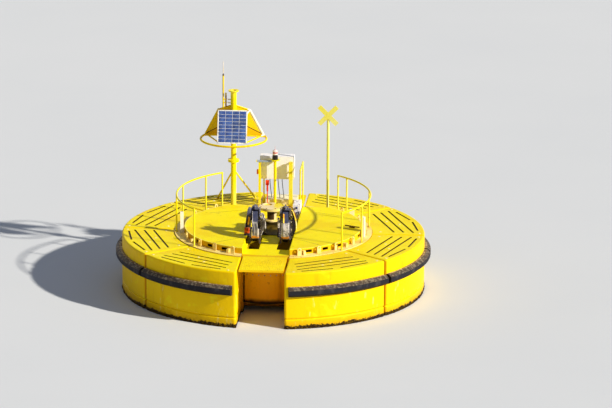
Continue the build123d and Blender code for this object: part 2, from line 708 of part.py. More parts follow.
def make_mast():
    """Mast tube with braces, collar, reflector cage with its ring, solar panel and antenna."""
    rim_top = DECK_Z + RIM_H
    lower = block(MAST_FOOT_W, MAST_FOOT_W, MAST_FOOT_T, (MAST_X, MAST_Y, rim_top))
    lower += disc(MAST_TUBE_R, COLLAR_Z - RIM_H, (MAST_X, MAST_Y, rim_top))
    lower += disc(COLLAR_R, COLLAR_T, (MAST_X, MAST_Y, DECK_Z + COLLAR_Z - COLLAR_T))
    for foot_x, foot_y in BRACE_FEET:
        foot = (foot_x, foot_y, DECK_Z + BRACE_PAD_T)
        lower += tube(foot, (MAST_X, MAST_Y, DECK_Z + BRACE_TOP_Z), BRACE_R)
        lower += block(BRACE_PAD_W, BRACE_PAD_W, BRACE_PAD_T, (foot_x, foot_y, DECK_Z))
        lower += Pos(*foot) * Sphere(BRACE_R)
        lower -= block(BRACE_PAD_W, BRACE_PAD_W, BRACE_PAD_W, (foot_x, foot_y, DECK_Z - BRACE_PAD_W))
    save(lower, "mast_lower")

    upper = disc(COLLAR_R, COLLAR_T, (MAST_X, MAST_Y, DECK_Z + COLLAR_Z))
    upper += disc(MAST_TUBE_R, CAGE_Z1 - COLLAR_Z, (MAST_X, MAST_Y, DECK_Z + COLLAR_Z))
    upper += disc(TOP_TUBE_R, MAST_TOP_Z - CAGE_Z1, (MAST_X, MAST_Y, DECK_Z + CAGE_Z1))
    top_z = DECK_Z + MAST_TOP_Z
    upper += disc(TOP_FLANGE_R, TOP_FLANGE_T, (MAST_X, MAST_Y, top_z - TOP_FLANGE_T))
    for turn in LAMP_BOLT_TURNS:
        hole = Vector(MAST_X, MAST_Y, top_z - 2 * TOP_FLANGE_T) + polar(LAMP_PCD / 2, turn)
        upper -= disc(LAMP_BOLT_R, 3 * TOP_FLANGE_T, tuple(hole))
    upper -= disc(TOP_TUBE_R - TOP_TUBE_WALL, MAST_TOP_Z, (MAST_X, MAST_Y, DECK_Z + CAGE_Z1 + TOP_TUBE_R))
    save(upper, "mast_upper")

    spine = MAST_TUBE_R + FIT_GAP
    bar = CAGE_BAR_W / 2
    edge = CAGE_EDGE_W / 2
    cage = None
    for turn in CAGE_FINS:
        foot_z = CAGE_Z0 + CAGE_FOOT_RISE
        head_z = CAGE_Z1 + CAGE_HEAD_RISE
        outline = ((0, foot_z), (CAGE_R0, CAGE_Z0), (CAGE_R1, CAGE_Z1), (0, head_z))
        fin = Pos(0, CAGE_T / 2, 0) * extrude(Plane.XZ * Polygon(*outline, align=None), CAGE_T)
        fin += tube((CAGE_R0, 0, CAGE_Z0), (CAGE_R1, 0, CAGE_Z1), edge)
        fin += tube((0, 0, foot_z), (RING_RAD, 0, RING_Z), bar)
        fin += tube((0, 0, head_z), (CAGE_R1, 0, CAGE_Z1), bar)
        fin += Pos(CAGE_R0, 0, CAGE_Z0) * Sphere(edge + RAIL_STEP)
        fin += Pos(CAGE_R1, 0, CAGE_Z1) * Sphere(edge + RAIL_STEP)
        fin -= Rot(0, 0, 90) * disc(spine, 2 * CAGE_Z1, (0, 0, 0))
        fin -= Rot(0, 0, 90) * disc(TOP_TUBE_R + FIT_GAP, CAGE_Z1, (0, 0, CAGE_Z1))
        fin = Rot(0, 0, turn) * fin
        cage = fin if cage is None else cage + fin
    levels = ((CAGE_R0, CAGE_Z0, CAGE_FRONT_Y0, CAGE_FRONT_Z0), (CAGE_R1, CAGE_Z1, CAGE_FRONT_Y1, CAGE_Z1))
    for radius, height, front_y, front_z in levels:
        right_back, left_back = [polar(radius, turn, height) for turn in CAGE_FINS]
        left_front = (-CAGE_FRONT_X, -front_y, front_z)
        right_front = (CAGE_FRONT_X, -front_y, front_z)
        corners = (right_back, left_back, left_front, right_front)
        for start, end in zip(corners, corners[1:] + corners[:1]):
            cage += tube(start, end, bar - RAIL_STEP)
        stay = tube((0, 0, front_z), (0, -front_y, front_z), CAGE_STAY_W / 2)
        cage += stay - disc(TOP_TUBE_R + FIT_GAP, 2 * CAGE_Z1, (0, 0, 0))
        for corner in (left_front, right_front):
            cage += Pos(*corner) * Sphere(bar)
    for side in (-1, 1):
        low = (side * CAGE_FRONT_X, -CAGE_FRONT_Y0, CAGE_FRONT_Z0)
        cage += tube(low, (side * CAGE_FRONT_X, -CAGE_FRONT_Y1, CAGE_Z1), bar - RAIL_STEP)
    cage += Pos(0, 0, RING_Z) * Rot(0, 0, RING_SEAM) * Torus(RING_RAD, RING_TUBE_R)
    save(Pos(MAST_X, MAST_Y, DECK_Z) * cage, "radar_reflector")

    slope = math.degrees(math.atan2(CAGE_FRONT_Y0 - CAGE_FRONT_Y1, CAGE_Z1 - CAGE_FRONT_Z0))
    back = bar + FIT_GAP
    panel = block(SOLAR_W, SOLAR_T, SOLAR_H, (0, -back - SOLAR_T / 2, -SOLAR_DROP))
    panel = Pos(MAST_X, MAST_Y - CAGE_FRONT_Y0, DECK_Z + CAGE_FRONT_Z0) * Rot(-slope, 0, 0) * panel
    save(panel, "solar_panel")

    tube_x = MAST_X + ANTENNA_X
    tube_h = ANTENNA_TUBE_TOP_Z - ANTENNA_Z0
    whip = disc(ANTENNA_TUBE_R, tube_h, (tube_x, MAST_Y, DECK_Z + ANTENNA_Z0))
    whip_at = (tube_x, MAST_Y, DECK_Z + ANTENNA_TUBE_TOP_Z)
    whip += disc(ANTENNA_WHIP_R, ANTENNA_TIP_Z - ANTENNA_TUBE_TOP_Z, whip_at)
    stub_x = tube_x + ANTENNA_STUB_DX
    whip += disc(ANTENNA_TUBE_R, ANTENNA_STUB_H, (stub_x, MAST_Y, DECK_Z + ANTENNA_Z0))
    arm_to = MAST_X - TOP_TUBE_R - FIT_GAP
    arm = Box(arm_to - tube_x, ANTENNA_ARM_W, ANTENNA_ARM_H)
    for arm_z in ANTENNA_ARMS:
        whip += Pos((tube_x + arm_to) / 2, MAST_Y, DECK_Z + arm_z) * arm
    save(whip, "antenna")


def make_cross():
    """Thin post on the rim with two crossed bars at its top."""
    rim_top = DECK_Z + RIM_H
    post = disc(CROSS_POST_R, CROSS_Z + CROSS_BAR_W / 2 - RIM_H, (CROSS_X, CROSS_Y_POS, rim_top))
    post += block(CROSS_FOOT_W, CROSS_FOOT_W, CROSS_FOOT_T, (CROSS_X, CROSS_Y_POS, rim_top))
    front_y = CROSS_Y_POS - CROSS_POST_R - CROSS_BAR_T / 2 + CROSS_BITE
    for turn in (45, -45):
        bar = Rot(0, turn, 0) * Box(CROSS_BAR_W, CROSS_BAR_T, CROSS_ARM)
        post += Pos(CROSS_X, front_y, DECK_Z + CROSS_Z) * bar
    save(post, "cross_topmark")


def make_gantry():
    """Two posts with stubs and a tray, the cabinet's back leg, the lamp post and its lantern."""
    gantry = block(GANTRY_POST, GANTRY_POST, GANTRY_H, (GANTRY_RIGHT_X, GANTRY_Y, DECK_Z))
    gantry += block(GANTRY_SLIM, GANTRY_POST, GANTRY_H, (GANTRY_LEFT_X, GANTRY_Y, DECK_Z))
    stub_l = CABINET_Y[0] - FIT_GAP - GANTRY_Y
    for post_x in (GANTRY_LEFT_X + STUB_INSET, GANTRY_RIGHT_X):
        for at_z in GANTRY_STUBS_Z:
            gantry += block(STUB_W, stub_l, STUB_W, (post_x, GANTRY_Y + stub_l / 2, DECK_Z + at_z))
    gantry += block(TRAY_L, TRAY_W, TRAY_T, (TRAY_X, GANTRY_Y, DECK_Z + GANTRY_H))
    gantry += disc(CABINET_LEG_R, CABINET_Z[0] - FIT_GAP, (CABINET_LEG_X, CABINET_LEG_Y, DECK_Z))
    save(gantry, "gantry")

    lamp = disc(LAMP_POST_R, LAMP_POST_H, (LAMP_POST_X, LAMP_POST_Y, DECK_Z))
    lamp += disc(LAMP_PLATE_R, LAMP_PLATE_T, (LAMP_POST_X, LAMP_POST_Y, DECK_Z + LAMP_POST_H))
    save(lamp, "lamp_post")
    base_z = DECK_Z + LAMP_POST_H + LAMP_PLATE_T
    lens_z = base_z + LANTERN_BASE_H
    cap_z = lens_z + LANTERN_LENS_H
    lantern = disc(LANTERN_R, LANTERN_BASE_H, (LAMP_POST_X, LAMP_POST_Y, base_z))
    lantern += disc(LANTERN_LENS_R, LANTERN_LENS_H, (LAMP_POST_X, LAMP_POST_Y, lens_z))
    cap = Cone(LANTERN_CAP_R, LANTERN_TIP_R, LANTERN_CAP_H)
    lantern += Pos(LAMP_POST_X, LAMP_POST_Y, cap_z + LANTERN_CAP_H / 2) * cap
    lantern += disc(LANTERN_SPIKE_R, LANTERN_CAP_H + LANTERN_SPIKE_H, (LAMP_POST_X, LAMP_POST_Y, cap_z))
    save(lantern, "lantern")


def make_cabinet():
    """Hollow instrument cabinet, its door on the back with two hinges and a handle."""
    wide = CABINET_X[1] - CABINET_X[0]
    deep = CABINET_Y[1] - CABINET_Y[0]
    tall = CABINET_Z[1] - CABINET_Z[0]
    mid_x = (CABINET_X[0] + CABINET_X[1]) / 2
    mid_y = (CABINET_Y[0] + CABINET_Y[1]) / 2
    back_y = CABINET_Y[1]
    low_z = DECK_Z + CABINET_Z[0]
    wall = CABINET_WALL
    shell = block(wide, deep, tall, (mid_x, mid_y, low_z))
    shell -= block(wide - 2 * wall, deep - 2 * wall, tall - 2 * wall, (mid_x, mid_y, low_z + wall))
    door_x0 = CABINET_X[0] + DOOR_MARGIN
    door_x1 = CABINET_X[1] - DOOR_MARGIN_FREE
    door_mid = (door_x0 + door_x1) / 2
    door_w = door_x1 - door_x0
    door_h = tall - 2 * DOOR_MARGIN_FREE
    mouth_w = door_w - 2 * DOOR_LAP
    mouth_z = low_z + DOOR_MARGIN_FREE + DOOR_LAP
    shell -= block(mouth_w, 4 * wall, door_h - 2 * DOOR_LAP, (door_mid, back_y, mouth_z))
    leaf_l = DOOR_GAP + CABINET_DOOR_T + DOOR_KNUCKLE_R
    hinge_y = back_y + leaf_l
    leaf_x = door_x0 - HINGE_ARM_L
    for at_z in DOOR_KNUCKLES:
        knuckle_z = low_z + at_z
        leaf_at = (leaf_x, back_y + leaf_l / 2, knuckle_z)
        shell += block(HINGE_LEAF_W, leaf_l + HINGE_PLATE_T, HINGE_H, leaf_at)
        shell += block(HINGE_ARM_L, HINGE_PLATE_T, HINGE_H, (door_x0 - HINGE_ARM_L / 2, hinge_y, knuckle_z))
        shell += disc(DOOR_KNUCKLE_R, HINGE_H, (door_x0, hinge_y, knuckle_z))
        shell += disc(DOOR_PIN_R, 2 * HINGE_H + HINGE_PLAY, (door_x0, hinge_y, knuckle_z))
    save(shell, "cabinet")

    door_y = back_y + DOOR_GAP + CABINET_DOOR_T / 2
    door = block(door_w, CABINET_DOOR_T, door_h, (door_mid, door_y, low_z + DOOR_MARGIN_FREE))
    strap_y = hinge_y - DOOR_KNUCKLE_R + HINGE_PLATE_T / 2
    for at_z in DOOR_KNUCKLES:
        knuckle_z = low_z + at_z + HINGE_H + HINGE_PLAY
        door += disc(DOOR_KNUCKLE_R, HINGE_H, (door_x0, hinge_y, knuckle_z))
        strap_at = (door_x0 + HINGE_STRAP_L / 2, strap_y, knuckle_z)
        door += block(HINGE_STRAP_L, HINGE_PLATE_T, HINGE_H, strap_at)
        door -= disc(DOOR_PIN_R + PIN_PLAY, 3 * HINGE_H, (door_x0, hinge_y, knuckle_z - HINGE_H))
    handle_at = (door_x1 - DOOR_HANDLE_INSET, door_y + CABINET_DOOR_T / 2 + DOOR_HANDLE_W / 2)
    handle_z = low_z + (tall - DOOR_HANDLE_H) / 2
    door += block(DOOR_HANDLE_W, DOOR_HANDLE_W, DOOR_HANDLE_H, (*handle_at, handle_z))
    save(door, "cabinet_door")


def make_deck_gear():
    """Boxes on the deck, lockers at the rails' ends, signal lever and cleat."""
    boxes = []
    for size_x, size_y, size_z, at_x, at_y, level in DECK_BOXES:
        boxes += block(size_x, size_y, size_z, (at_x, at_y, DECK_Z + level)).solids()
    save(Compound(boxes), "deck_boxes")

    lockers = []
    for side in (-1, 1):
        body = Rot(0, 0, LOCKER_ANGLE) * block(LOCKER_T, LOCKER_W, LOCKER_H, (LOCKER_R, 0, DECK_Z + DECK_T))
        lockers += (body if side > 0 else mirror_x(body)).solids()
    save(Compound(lockers), "rail_lockers")

    lever = disc(SIGNAL_ROD_R, SIGNAL_Z, (SIGNAL_X, SIGNAL_Y, DECK_Z))
    lever += block(SIGNAL_W, SIGNAL_W, SIGNAL_H, (SIGNAL_X, SIGNAL_Y, DECK_Z + SIGNAL_Z))
    lever += disc(SIGNAL_NECK_R, SIGNAL_NECK_H, (SIGNAL_X, SIGNAL_Y, DECK_Z + SIGNAL_Z - SIGNAL_NECK_H))
    lever += disc(SIGNAL_FOOT_R, SIGNAL_FOOT_T, (SIGNAL_X, SIGNAL_Y, DECK_Z))
    save(lever, "signal_lever")

    cleat = block(CLEAT_BASE_L, CLEAT_W, CLEAT_H, (0, 0, 0))
    cleat += cross_pin(CLEAT_HORN_R, CLEAT_L, (0, 0, CLEAT_H))
    save(Pos(CLEAT_X, CLEAT_Y, PLATE_Z) * Rot(0, 0, CLEAT_TURN) * cleat, "deck_cleat")


def cross_pin(radius, length, at):
    """A solid cylinder lying along X, its middle at a point."""
    return Pos(*at) * Rot(0, 90, 0) * Cylinder(radius, length)


def make_bed():
    """Bed plate with the capstan's shaft and a pedestal, two lugs and an upright pin to each hook."""
    top_z = DECK_Z + BED_T
    bed = block(BED_W, BED_L, BED_T, (0, BED_Y, DECK_Z))
    bed += disc(CAPSTAN_BASE_R, CAPSTAN_BASE_H, (CAPSTAN_X, CAPSTAN_Y, top_z))
    bed += disc(CAPSTAN_SHAFT_R, CAPSTAN_SHAFT_H, (CAPSTAN_X, CAPSTAN_Y, top_z))
    for hook_x in HOOK_X:
        bed += block(PED_W, PED_L, PED_H, (hook_x, HOOK_PIN_Y + PED_GAP + PED_L / 2, top_z))
        for lug_z in (top_z, top_z + PED_H - LUG_T):
            bed += block(PED_W, PED_GAP, LUG_T, (hook_x, HOOK_PIN_Y + PED_GAP / 2, lug_z))
            bed += disc(PED_W / 2, LUG_T, (hook_x, HOOK_PIN_Y, lug_z))
        bed += disc(HOOK_PIN_R, PED_H + PIN_HEAD_H, (hook_x, HOOK_PIN_Y, top_z))
    save(bed, "hook_bed")


def bent_line(radius, points):
    """A round line through corner points, with a ball at each corner."""
    line = tube(points[0], points[1], radius)
    for start, end in zip(points[1:-1], points[2:]):
        line += Pos(*start) * Sphere(radius)
        line += tube(start, end, radius)
    return line


def make_lines():
    """Bent hydraulic lines from the right pedestal to the power pack and to the floor."""
    hook_x = HOOK_X[1]
    pack_w, pack_l, pack_h, pack_x, pack_y, pack_level = DECK_BOXES[1]
    port_y = HOOK_PIN_Y + PED_GAP + PED_L + FIT_GAP
    end_y = pack_y - pack_l / 2 - FIT_GAP
    lines = []
    for from_x, from_z, corner, to_x, to_z in BACK_LINES:
        points = (
            (hook_x + from_x, port_y, DECK_Z + from_z),
            (hook_x + from_x, port_y + LINE_LEAD, DECK_Z + from_z),
            (corner[0], corner[1], DECK_Z + corner[2]),
            (pack_x + to_x, end_y - LINE_LEAD, DECK_Z + to_z),
            (pack_x + to_x, end_y, DECK_Z + to_z),
        )
        lines += bent_line(LINE_R, points).solids()
    side_x = hook_x + PED_W / 2
    side_y = port_y - SIDE_LINE_BACK
    high, low = SIDE_LINE_Z
    points = (
        (side_x + FIT_GAP, side_y, DECK_Z + high),
        (side_x + SIDE_LINE_OUT, side_y, DECK_Z + high),
        (side_x + SIDE_LINE_OUT, side_y - SIDE_LINE_AHEAD, DECK_Z + low),
        (side_x + SIDE_LINE_OUT, side_y - SIDE_LINE_AHEAD, DECK_Z + FIT_GAP),
    )
    lines += bent_line(SIDE_LINE_R, points).solids()
    save(Compound(lines), "hydraulic_lines")


def make_capstan():
    """Capstan drum with a flared head that turns on the bed's shaft."""
    centre = (CAPSTAN_X, CAPSTAN_Y)
    flare_z = CAPSTAN_Z0 + CAPSTAN_BARREL_H
    head_z = flare_z + CAPSTAN_FLARE_H
    pocket_z = head_z + CAPSTAN_HEAD_H - CAPSTAN_POCKET_H
    shaft_top = DECK_Z + BED_T + CAPSTAN_SHAFT_H + SIDE_GAP
    drum = disc(CAPSTAN_BARREL_R, CAPSTAN_BARREL_H, (*centre, CAPSTAN_Z0))
    drum += disc(CAPSTAN_FOOT_R, CAPSTAN_FOOT_H, (*centre, CAPSTAN_Z0))
    flare = Cone(CAPSTAN_BARREL_R, CAPSTAN_HEAD_R, CAPSTAN_FLARE_H)
    drum += Pos(*centre, flare_z + CAPSTAN_FLARE_H / 2) * flare
    drum += disc(CAPSTAN_HEAD_R, CAPSTAN_HEAD_H, (*centre, head_z))
    pocket_at = (CAPSTAN_X + CAPSTAN_POCKET_X, CAPSTAN_Y + CAPSTAN_POCKET_Y, pocket_z)
    drum -= disc(CAPSTAN_POCKET_R, 2 * CAPSTAN_POCKET_H, pocket_at)
    drum -= disc(CAPSTAN_SHAFT_R + PIN_PLAY, shaft_top - DECK_Z, (*centre, DECK_Z))
    save(drum, "capstan_drum")


def yawed(shape, hook_x):
    """The shape turned about a hook's upright pin to the angle at which the hook lies."""
    return Pos(hook_x, HOOK_PIN_Y) * Rot(0, 0, HOOK_YAW) * Pos(-hook_x, -HOOK_PIN_Y) * shape


def make_swivel(hook_x, name):
    """Swivel barrel on the upright pin, its tongue bored for the hook's cross pin."""
    low = DECK_Z + BED_T + LUG_T + SIDE_GAP
    high = DECK_Z + BED_T + PED_H - LUG_T - SIDE_GAP
    cross_at = (hook_x, HOOK_PIN_Y - CROSS_PIN_REACH, HOOK_AXIS_Z)
    tongue_at = (hook_x, HOOK_PIN_Y - CROSS_PIN_REACH / 2, HOOK_AXIS_Z - TONGUE_H / 2)
    swivel = disc(SWIVEL_R, high - low, (hook_x, HOOK_PIN_Y, low))
    swivel += block(TONGUE_W, CROSS_PIN_REACH, TONGUE_H, tongue_at)
    swivel += cross_pin(TONGUE_H / 2, TONGUE_W, cross_at)
    swivel -= disc(HOOK_PIN_R + PIN_PLAY, 2 * PED_H, (hook_x, HOOK_PIN_Y, DECK_Z - PED_H / 2))
    swivel -= cross_pin(HOOK_PIN_R + PIN_PLAY, 2 * TONGUE_W, cross_at)
    save(yawed(swivel, hook_x), f"hook_swivel_{name}")


def make_hook_frame(hook_x, name):
    """Two cheek plates joined by both cross pins and the latch housing, with its release lever."""
    throat = Pos(HOOK_C_Y, HOOK_C_Z) * Circle(HOOK_IN_R + SIDE_GAP)
    cheek_face = Polygon(*CHEEK_POINTS, align=None) - throat
    cross_at = (hook_x, HOOK_PIN_Y - CROSS_PIN_REACH, HOOK_AXIS_Z)
    jaw_at = (hook_x, -PRONG_PIN_Y, DECK_Z + PRONG_PIN_Z)
    pin_l = 2 * CHEEK_X + CHEEK_T + 2 * PIN_PROUD
    cheek_in = CHEEK_X - CHEEK_T / 2
    frame = cross_pin(HOOK_PIN_R, pin_l, cross_at) + cross_pin(HOOK_PIN_R, pin_l, jaw_at)
    for side in (-1, 1):
        plane = Plane(origin=(hook_x + side * CHEEK_X, 0, DECK_Z), x_dir=(0, -1, 0), z_dir=(-1, 0, 0))
        frame += extrude(plane * cheek_face, CHEEK_T / 2, both=True)
        for at, held_w in ((cross_at, TONGUE_W), (jaw_at, PRONG_T)):
            boss_l = cheek_in - held_w / 2 - SIDE_GAP
            boss_x = hook_x + side * (cheek_in - boss_l / 2)
            frame += cross_pin(BOSS_R, boss_l, (boss_x, *at[1:]))
    plane = Plane(origin=(hook_x, 0, DECK_Z), x_dir=(0, -1, 0), z_dir=(-1, 0, 0))
    frame += extrude(plane * Polygon(*HOUSING_POINTS, align=None), CHEEK_X, both=True)
    lever_root = (hook_x, -LEVER_ROOT_Y, DECK_Z + LEVER_ROOT_Z)
    frame += tube(lever_root, (hook_x, -LEVER_END_Y, DECK_Z + LEVER_END_Z), LEVER_R)
    if name == "left":
        points = [(hook_x + across, -ahead, DECK_Z + up) for across, ahead, up in GUARD_POINTS]
        for start, end in zip(points[:-1], points[1:]):
            frame += tube(start, end, GUARD_R)
        for corner in points[1:-1]:
            frame += Pos(*corner) * Sphere(GUARD_R)
    save(yawed(frame, hook_x), f"hook_frame_{name}")


def make_prong(hook_x, name):
    """The curved prong that holds a mooring line's eye and swings down to let it go."""
    plane = Plane(origin=(hook_x, 0, DECK_Z), x_dir=(0, -1, 0), z_dir=(-1, 0, 0))
    centre = Vector(HOOK_C_Y, HOOK_C_Z)
    reach = 3 * HOOK_OUT_R
    mouth = [centre] + [centre + polar(reach, angle) for angle in (PRONG_TIP_ANGLE, PRONG_TAIL_ANGLE)]
    mouth_face = Polygon(*[tuple(corner)[:2] for corner in mouth], align=None)
    face = Pos(HOOK_C_Y, HOOK_C_Z) * (Circle(HOOK_OUT_R) - Circle(HOOK_IN_R)) - mouth_face
    prong = extrude(plane * face, PRONG_T / 2, both=True)
    jaw_at = (hook_x, -PRONG_PIN_Y, DECK_Z + PRONG_PIN_Z)
    prong -= cross_pin(HOOK_PIN_R + PIN_PLAY, 2 * PRONG_T, jaw_at)
    save(yawed(prong, hook_x), f"hook_prong_{name}")


os.makedirs("parts", exist_ok=True)
make_floats()
make_fenders()
make_core()
make_rim()
make_decks()
make_walkways()
make_rails()
make_mast()
make_cross()
make_gantry()
make_cabinet()
make_deck_gear()
make_bed()
make_lines()
make_capstan()
for side_name, at_x in zip(("left", "right"), HOOK_X):
    make_swivel(at_x, side_name)
    make_hook_frame(at_x, side_name)
    make_prong(at_x, side_name)
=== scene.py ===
import bmesh
import bpy
import math
from mathutils import Matrix, Vector


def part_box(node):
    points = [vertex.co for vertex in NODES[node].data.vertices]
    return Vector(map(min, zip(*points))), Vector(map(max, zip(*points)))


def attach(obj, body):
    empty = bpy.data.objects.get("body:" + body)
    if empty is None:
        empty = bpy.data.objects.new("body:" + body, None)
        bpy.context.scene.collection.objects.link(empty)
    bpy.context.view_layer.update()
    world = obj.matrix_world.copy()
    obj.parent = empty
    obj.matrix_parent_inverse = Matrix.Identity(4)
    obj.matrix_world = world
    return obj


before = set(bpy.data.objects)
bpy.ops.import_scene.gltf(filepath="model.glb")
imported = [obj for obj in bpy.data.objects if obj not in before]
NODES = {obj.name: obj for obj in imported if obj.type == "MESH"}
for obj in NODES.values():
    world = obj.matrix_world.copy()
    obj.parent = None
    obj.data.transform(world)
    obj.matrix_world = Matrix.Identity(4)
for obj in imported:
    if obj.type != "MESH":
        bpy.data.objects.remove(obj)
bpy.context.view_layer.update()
scene = bpy.context.scene

# The camera stands far off on the slot's side, a little to the right, and looks down at the
# decks. It was fitted to the rings of the rail, the decks and the floats in the photograph.
WATERLINE = 1.0
azimuth = math.radians(4.4836)
elevation = math.radians(15.4443)
roll = math.radians(-0.3245)
distance = 123.947
photo_w = 612
photo_h = 408
focal_px = 4670.31
centre_px = (273.704, 285.702)
view_right = Vector((math.cos(azimuth), math.sin(azimuth), 0.0))
view_ahead = Vector((-math.sin(azimuth) * math.cos(elevation), math.cos(azimuth) * math.cos(elevation),
                     -math.sin(elevation)))
view_up = view_right.cross(view_ahead)
off_right = (centre_px[0] - photo_w / 2) / focal_px * distance
off_up = (photo_h / 2 - centre_px[1]) / focal_px * distance
camera = bpy.data.objects.new("camera", bpy.data.cameras.new("camera"))
scene.collection.objects.link(camera)
camera.data.sensor_width = 36.0
camera.data.lens = camera.data.sensor_width * focal_px / photo_w
camera.data.clip_start = 1.0
camera.data.clip_end = 600.0
picture_right = view_right * math.cos(roll) - view_up * math.sin(roll)
picture_up = view_right * math.sin(roll) + view_up * math.cos(roll)
camera.matrix_world = Matrix((picture_right, picture_up, -view_ahead)).transposed().to_4x4()
aim_shift = view_ahead * distance + view_right * off_right + view_up * off_up
camera.location = Vector((0.0, 0.0, WATERLINE)) - aim_shift
scene.camera = camera

# The key light is one warm lamp low on the right and in front, where the sun stands in the
# photograph, so that the shadows of the rails and the hooks fall on the same decks.
lamp = bpy.data.objects.new("key_lamp", bpy.data.lights.new("key_lamp", "SUN"))
scene.collection.objects.link(lamp)
lamp.data.energy = 5.2
lamp.data.angle = math.radians(1.6)
lamp.data.color = (1.0, 0.94, 0.84)
lamp_azimuth = math.radians(-23.0)
lamp_elevation = math.radians(27.5)
to_lamp = Vector((math.cos(lamp_azimuth) * math.cos(lamp_elevation),
                  math.sin(lamp_azimuth) * math.cos(lamp_elevation), math.sin(lamp_elevation)))
lamp.rotation_euler = to_lamp.to_track_quat("Z", "Y").to_euler()
scene.view_settings.view_transform = "Standard"


# The world is a dim and even fill for the shade, while the camera, mirrors and glass see it
# white. The small class below wraps one shader socket, so that masks are written as sums.
class Tint:
    def __init__(self, tree, socket=None):
        self.tree = tree
        self.socket = socket

    def node(self, kind, settings=None, inputs=None, out=0):
        made = self.tree.nodes.new(kind)
        for name, value in (settings or {}).items():
            setattr(made, name, value)
        for key, value in (inputs or {}).items():
            if isinstance(value, Tint):
                self.tree.links.new(value.socket, made.inputs[key])
            else:
                made.inputs[key].default_value = value
        return Tint(self.tree, made.outputs[out])

    def sum(self, operation, first, second=0.0):
        return self.node("ShaderNodeMath", {"operation": operation}, {0: first, 1: second})

    def __add__(self, other):
        return self.sum("ADD", self, other)

    def __sub__(self, other):
        return self.sum("SUBTRACT", self, other)

    def __rsub__(self, other):
        return self.sum("SUBTRACT", other, self)

    def __mul__(self, other):
        return self.sum("MULTIPLY", self, other)

    def __truediv__(self, other):
        return self.sum("DIVIDE", self, other)

    def __gt__(self, other):
        return self.sum("GREATER_THAN", self, other)

    def __lt__(self, other):
        return self.sum("LESS_THAN", self, other)

    def __abs__(self):
        return self.sum("ABSOLUTE", self)

    def __or__(self, other):
        return self.sum("MAXIMUM", self, other)

    def ramp(self, low, high, bottom=0.0, top=1.0):
        inputs = {"Value": self, "From Min": low, "From Max": high, "To Min": bottom, "To Max": top}
        return self.node("ShaderNodeMapRange", {"interpolation_type": "SMOOTHSTEP"}, inputs)

    def band(self, middle, half, soft=0.003):
        return abs(self - middle).ramp(half, half + soft, 1.0, 0.0)


def rgb(red, green, blue):
    channels = []
    for value in (red, green, blue):
        share = value / 255
        channels.append(share / 12.92 if share <= 0.04045 else ((share + 0.055) / 1.055) ** 2.4)
    return (*channels, 1.0)


world = bpy.data.worlds.new("studio")
scene.world = world
world.use_nodes = True
world.node_tree.nodes.clear()
light_path = world.node_tree.nodes.new("ShaderNodeLightPath")
seen = Tint(world.node_tree, light_path.outputs["Is Camera Ray"])
seen = seen | Tint(world.node_tree, light_path.outputs["Is Glossy Ray"])
seen = seen | Tint(world.node_tree, light_path.outputs["Is Transmission Ray"])
fill = (0.17, 0.19, 0.24, 1.0)
white = rgb(255, 255, 255)
sky_colour = seen.node("ShaderNodeMix", {"data_type": "RGBA"}, {0: seen, 6: fill, 7: white}, 2)
sky = seen.node("ShaderNodeBackground", inputs={0: sky_colour, 1: 1.0})
world_output = world.node_tree.nodes.new("ShaderNodeOutputWorld")
world.node_tree.links.new(sky.socket, world_output.inputs[0])


